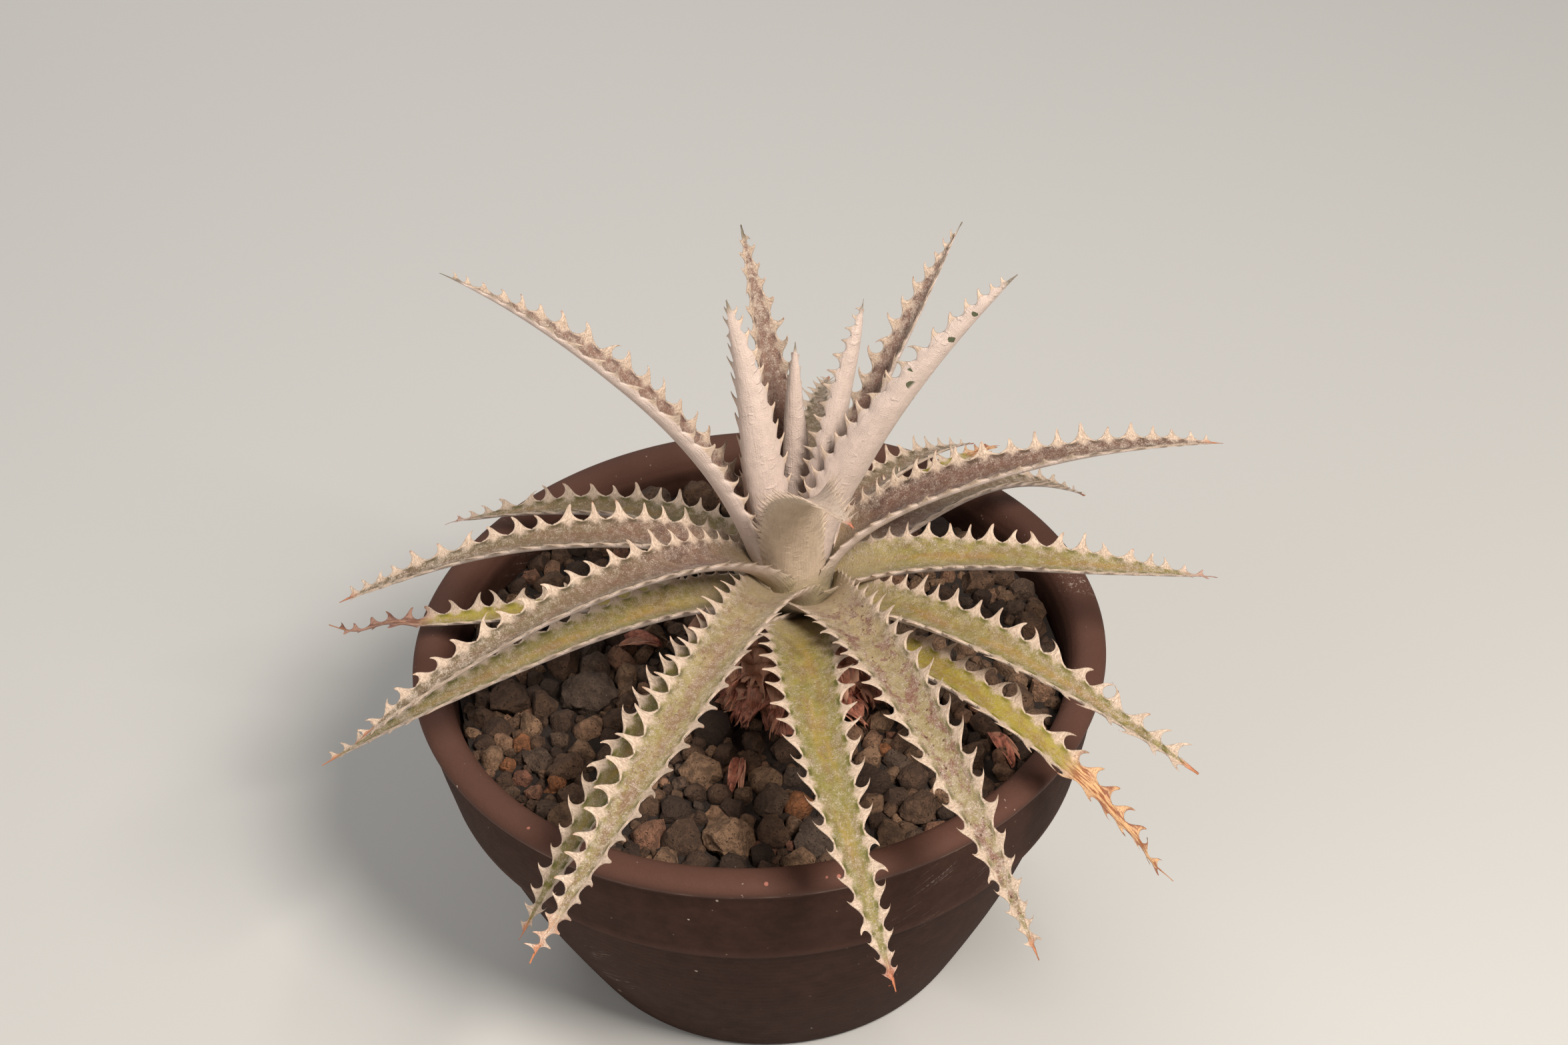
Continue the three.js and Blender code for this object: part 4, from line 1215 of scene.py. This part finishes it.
def bend_blade(blade, leaf, spines, seed):
    """Bends the flat blade along the leaf's line: its width, channel and base, and the hook of each spine."""
    random = np.random.default_rng(seed)
    flat = vertices_of(blade)
    half = BLADE_WIDTH / 2
    x, y, z = flat[:, 0] / half, flat[:, 1] / SPINE_PITCH, flat[:, 2] / (BLADE_THICKNESS / 2)
    side = np.sign(x)
    across = np.clip(x, -1, 1)
    reach = np.clip((np.abs(flat[:, 0]) - half) / SPINE_REACH, 0, 1)
    on_spine = reach > 1e-4
    number = np.clip(np.floor(y), 0, spines - 1).astype(int)
    phase = y - number - 0.5
    has_spine = (number >= 1) & (number < spines - 1)

    # beyond the base the roots of the spines take up nearly the whole margin; the rows within stay even
    spread = ROOT_SPREAD * (0.35 + 0.65 * smooth_step(0.10, 0.45, (number + 0.5) / spines))
    drawn = np.where(
        np.abs(phase) < ROOT_HALF,
        phase * spread / ROOT_HALF,
        np.sign(phase) * (spread + (np.abs(phase) - ROOT_HALF) * (0.5 - spread) / (0.5 - ROOT_HALF)),
    )
    drawn = np.where(has_spine, phase + (drawn - phase) * np.abs(across) ** 3, phase)
    marks = spine_marks(leaf, spines, random)
    order = np.arange(spines + 1)
    left_share, right_share = (np.interp(number + 0.5 + drawn, order, marks[i]) for i in (0, 1))
    share = left_share + (right_share - left_share) * (across + 1) / 2
    margin = (side > 0).astype(int)
    root_share = (marks[margin, number] + marks[margin, number + 1]) / 2
    pitch = leaf.length * (marks[margin, number + 1] - marks[margin, number])
    beside = np.abs(drawn) * pitch

    # each spine's own size and hook
    table = random.uniform(-1, 1, (2, spines, 4))
    own = table[margin, number]
    size = leaf.spine * (0.18 + 0.90 * smooth_step(0.05, 0.30, root_share))
    size = size * (1 - leaf.fading * smooth_step(0.65, 1.0, root_share)) * (1 + 0.22 * own[:, 0])
    size = np.minimum(size, pitch * 1.35)
    late = smooth_step(0.36, 0.60, root_share)
    curl = leaf.curl[0] + (leaf.curl[1] - leaf.curl[0]) * late
    turned = (own[:, 3] > 0.72) & (late > 0.5)
    curl = np.where(turned, -curl, curl) + 0.25 * own[:, 1]

    # the blade's width and how far its margins are turned up
    withered = smooth_step(leaf.withered, leaf.withered + 0.06, share)
    taper = (1 - LEAF_TAPER * share) * (1 - share ** LEAF_POINT)
    fold = math.radians(leaf.fold)
    blade_half = leaf.width / 2 * taper * fold / math.sin(min(fold, 1.2)) * (1 - 0.1 * withered)
    blade_half = np.maximum(0.12, blade_half) + (leaf.wrap - leaf.width / 2) * np.exp(-(share / 0.10) ** 2)
    wrapped = np.clip(blade_half / (stem_radius(leaf.foot) + 1.5), 0.4, 1.35)
    angle = fold + (wrapped - fold) * np.exp(-(share / 0.11) ** 2)
    angle = np.clip(angle * (1 - 0.25 * smooth_step(0.6, 1.0, share)) * (1 - 0.35 * withered), 0.1, 1.6)

    turn = angle * across
    radius = blade_half / angle
    sideways = radius * np.sin(turn)
    raised = radius * (1 - np.cos(turn)) - 0.4 * radius * (1 - np.cos(angle))
    edge_cos, edge_sin = np.cos(turn), np.sin(turn)

    # thickness: thin and horny at the margin, with a rounded back
    edge_thickness = 0.42 * (1 - 0.55 * share) * np.clip(blade_half / 1.2, 0.15, 1)
    edge_thickness = edge_thickness * (0.5 + 0.5 * smooth_step(0.03, 0.28, share))
    keel = 1.5 * (1 - 0.6 * share) * (1 - across ** 2) ** 0.9 * np.clip(blade_half / 4.5, 0.02, 1)
    thickness = np.where(z > 0, edge_thickness, edge_thickness + keel) * z * (1 - 0.5 * withered)

    # spines run on from the margin, narrow fast, and hook along the leaf
    notch = np.where(has_spine, np.cos(FULL_TURN * np.clip(drawn, -0.5, 0.5)), 0)
    by_margin = smooth_step(0.62, 1.0, np.abs(x))
    swell = 0.10 * size * smooth_step(0.12, 0.35, share) * notch * by_margin * (1 - reach)
    out = size * reach * (1 - 0.24 * np.abs(curl) * reach ** 2) + swell
    lean = size * curl * (0.05 * reach + 0.75 * reach ** 2.3)
    narrow = 0.18 + 0.82 * np.exp(-reach / 0.30)
    spine_offset = phase * pitch * spread / ROOT_HALF * narrow + lean
    offset = np.where(on_spine, spine_offset, 0)
    stand = np.where(on_spine, 0.10 * own[:, 2] * size * reach, 0)
    sideways = sideways - edge_sin * thickness + side * out * np.cos(angle) - side * stand * np.sin(angle)
    lifted = out * np.sin(angle) * smooth_step(0.5, 1.0, np.abs(x))
    raised = raised + edge_cos * thickness + lifted + stand * np.cos(angle)

    # slow unevenness of the whole blade
    waves = random.uniform(0, FULL_TURN, 4)
    raised = raised + across ** 2 * side * 0.30 * np.sin(FULL_TURN * 2.1 * share + waves[0])
    raised = raised + 0.35 * np.sin(FULL_TURN * 1.3 * share + waves[1]) * share
    sideways = sideways + 0.45 * np.sin(FULL_TURN * 1.1 * share + waves[2]) * share
    twisted = 0.35 * withered * (share - leaf.withered) * leaf.length / 10
    raised = raised + twisted * np.sin(share * 40 + waves[3])
    sideways = sideways + twisted * np.cos(share * 31 + waves[3])

    shares, points, tangent, right, face = leaf_line(leaf)
    centre = np.where(on_spine, root_share, share)
    places = along_line(shares, points, centre)
    for direction, distances in ((right, sideways), (face, raised), (tangent, offset)):
        places = places + along_line(shares, direction, centre) * distances[:, None]
    move_vertices(blade, places)

    along_mm = centre * leaf.length + offset
    store_vectors(blade, "leaf_place", np.stack([across * blade_half + seed * 37, along_mm, z], 1))
    store_vectors(blade, "leaf_share", np.stack([across, share, np.where(on_spine, reach, 0)], 1))
    edge = np.where(on_spine, -out, blade_half * (1 - np.abs(across)))
    store_vectors(blade, "leaf_margin", np.stack([edge, np.where(has_spine, beside, 3.0), withered], 1))


def make_leaves():
    blades = {}
    for index, leaf in enumerate(LEAVES):
        spines = round(leaf.length / leaf.spacing) + 1
        if spines not in blades:
            blades[spines] = model_blade(spines)
        blade = copy_piece(blades[spines], leaf.name.replace("leaf_", "blade_"))
        bend_blade(blade, leaf, spines, index + 1)
        finish_piece(blade, LEAF_COATS[leaf.coat], [leaf.name])
    for blade in blades.values():
        discard(blade)


# ---------------------------------------------------------------- dry leaf remains


def model_scale():
    """A flat papery scale lying along +Y, torn into a few uneven points at its end."""
    bpy.ops.object.select_all(action="DESELECT")
    bpy.ops.mesh.primitive_grid_add(x_subdivisions=12, y_subdivisions=10, size=1)
    scale = name_new("scale")
    with editing(scale):
        select_whole()
        bpy.ops.transform.translate(value=(0, 0.5, 0))
        for first, last, length in TORN_POINTS:
            low, high = -0.5 + first / 12, -0.5 + last / 12
            pick_edges(scale, lambda co: co.y > 0.99 and low - 0.01 < co.x < high + 0.01)
            bpy.ops.mesh.extrude_edges_move(TRANSFORM_OT_translate={"value": (0, length * 0.5, 0)})
            bpy.ops.transform.resize(value=(0.55, 1, 1), center_override=((low + high) / 2, 1, 0))
            bpy.ops.mesh.extrude_edges_move(TRANSFORM_OT_translate={"value": (0.02, length * 0.5, 0)})
            bpy.ops.mesh.merge(type="COLLAPSE")
    return scale


def bend_scale(scale, start, heading, rise, fall, length, width, narrowing, curve, tint, seed, pointed=0.0):
    """Bends a flat scale into a crumpled, curled shaving that starts at a point and falls away from it."""
    random = np.random.default_rng(seed)
    flat = vertices_of(scale)
    x, s = flat[:, 0] * 2, flat[:, 1]
    phases = random.uniform(0, FULL_TURN, 5)
    s = s * (1 + 0.16 * np.sin(3.1 * x + phases[0]) + 0.07 * np.sin(9 * x + phases[1]))
    shares = np.linspace(0, 1.9, 60)
    pitch = np.radians(rise + (fall - rise) * np.minimum(shares, 1.4))
    step = length * (shares[1] - shares[0])
    run = (np.cumsum(np.cos(pitch)) - np.cos(pitch[0])) * step
    climb = (np.cumsum(np.sin(pitch)) - np.sin(pitch[0])) * step
    at_run, at_climb = np.interp(s, shares, run), np.interp(s, shares, climb)
    at_pitch = np.interp(s, shares, pitch)
    half = width / 2 * (1 - narrowing * np.clip(s, 0, 1.2) / 1.2)
    half = half * (1 - pointed * (1 - np.clip(s / 0.45, 0, 1)))
    twist = random.uniform(-0.7, 0.7) * s
    creases = 0.08 * np.cos(x * 19) + 1.00 * np.sin(4.4 * s + phases[2]) * x
    creases = creases + 0.75 * np.sin(7 * s + 3.6 * x + phases[3]) + 0.45 * np.sin(12 * s - 6 * x + phases[4])
    lift = curve * half * x ** 2 + creases * width / 10 + twist * half * x
    sideways = half * x
    ahead = at_run - np.sin(at_pitch) * lift
    up = at_climb + np.cos(at_pitch) * lift
    direction = math.radians(heading)
    places = np.stack([
        start[0] + ahead * math.cos(direction) + sideways * math.sin(direction),
        start[1] + ahead * math.sin(direction) - sideways * math.cos(direction),
        start[2] + up,
    ], 1)
    move_vertices(scale, places)
    store_vectors(scale, "leaf_place", np.stack([half * x + seed * 13, s * length, np.zeros_like(s)], 1))
    store_vectors(scale, "leaf_share", np.stack([x, s / 1.4, np.zeros_like(s)], 1))
    store_values(scale, "tint", np.full(len(s), tint))
    apply_modifier(scale, "SOLIDIFY", thickness=0.22, offset=0)


def make_dry_bases(flat_scale):
    """Each bundle is a few overlapping shavings of old leaf bases against the stem's foot."""
    random = np.random.default_rng(8)
    for index, middle in enumerate(DRY_BASE_DIRECTIONS):
        shavings = []
        for layer in range(9):
            broad = layer < 3
            heading = middle + random.uniform(-26, 26)
            foot = 16.5 + layer * 1.7 + random.uniform(-1, 1)
            direction = math.radians(heading)
            reach = STEM_MAX_RADIUS - 2.0 + random.uniform(0, 1.5)
            start = by_stem(reach, direction, foot)
            length = random.uniform(7, 9) if broad else random.uniform(8, 12)
            width = random.uniform(13, 18) if broad else random.uniform(5, 11)
            shaving = copy_piece(flat_scale, "shaving")
            bend_scale(
                shaving, start, heading + random.uniform(-30, 30), random.uniform(-10, 45),
                random.uniform(-85, -20), length, width, 0.15 if broad else 0.55,
                random.uniform(-0.4, 0.6), random.choice([0.3, 0.7] if broad else [0.0, 0.1, 0.5]),
                100 * index + layer,
            )
            shavings.append(shaving)
        bundle = join(shavings, f"dry_bundle_{index + 1}")
        finish_piece(bundle, DRY_LEAF, [f"dry_base_{index + 1}"])


def make_fallen(flat_scale):
    for index, (name, x, y, direction, length, width) in enumerate(FALLEN):
        angle = math.radians(direction)
        start = (
            x - math.cos(angle) * length / 2,
            y - math.sin(angle) * length / 2,
            bed_height(x, y) + 2.2,
        )
        shavings = []
        for turn, share, broadness, tint in [(0, 0.85, 1.5, 0.05), (14, 0.95, 0.8, 0.55)]:
            shaving = copy_piece(flat_scale, "shaving")
            bend_scale(
                shaving, start, direction + turn, 34, -50, length * share, width * broadness, 0.9, 0.6, tint,
                900 + index + turn, pointed=0.8,
            )
            shavings.append(shaving)
        piece = join(shavings, name.replace("leaf", "shaving"))
        finish_piece(piece, DRY_LEAF, [name])


# ---------------------------------------------------------------- setting


def make_floor():
    bpy.ops.object.select_all(action="DESELECT")
    bpy.ops.mesh.primitive_plane_add(size=FLOOR_SIZE)
    floor = name_new("floor")
    material, _, shader = new_material("pale_floor")
    shader["Base Color"].default_value = colour(FLOOR_TONE)
    shader["Roughness"].default_value = 0.7
    floor.data.materials.append(material)


def add_lamp(name, place, size, power, tone):
    lamp = bpy.data.lights.new(name, "AREA")
    lamp.shape = "DISK"
    lamp.size = size
    lamp.energy = power
    lamp.color = tone
    holder = bpy.data.objects.new(name, lamp)
    holder.location = place
    holder.rotation_euler = (Vector(LAMP_AIM) - Vector(place)).to_track_quat("-Z", "Y").to_euler()
    bpy.context.scene.collection.objects.link(holder)


def make_lights():
    world = bpy.data.worlds.new("soft_room")
    world.use_nodes = True
    background = world.node_tree.nodes["Background"].inputs
    background[0].default_value = colour(ROOM_TONE)
    background[1].default_value = ROOM_STRENGTH
    bpy.context.scene.world = world
    for lamp in LAMPS:
        add_lamp(*lamp)
    bpy.context.scene.view_settings.view_transform = "Standard"


def make_camera():
    camera = bpy.data.cameras.new("camera")
    camera.sensor_width, camera.lens = SENSOR_WIDTH, LENS
    camera.clip_start, camera.clip_end = 0.05, 20.0
    holder = bpy.data.objects.new("camera", camera)
    holder.location = CAMERA_PLACE
    holder.rotation_euler = [math.radians(angle) for angle in CAMERA_TURN]
    bpy.context.scene.collection.objects.link(holder)
    bpy.context.scene.camera = holder


def dress_frame():
    """Finishes the solid pieces that stay visible: the bed under the grains and the stem."""
    for node, material in (("gravel_bed", make_bed_fill()), ("stem", make_bark())):
        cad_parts[node].data.materials.clear()
        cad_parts[node].data.materials.append(material)


make_camera()
make_lights()
make_floor()
dress_frame()
make_pot()
make_stones()
make_grains()
make_leaves()
scale_pattern = model_scale()
make_dry_bases(scale_pattern)
make_fallen(scale_pattern)
discard(scale_pattern)
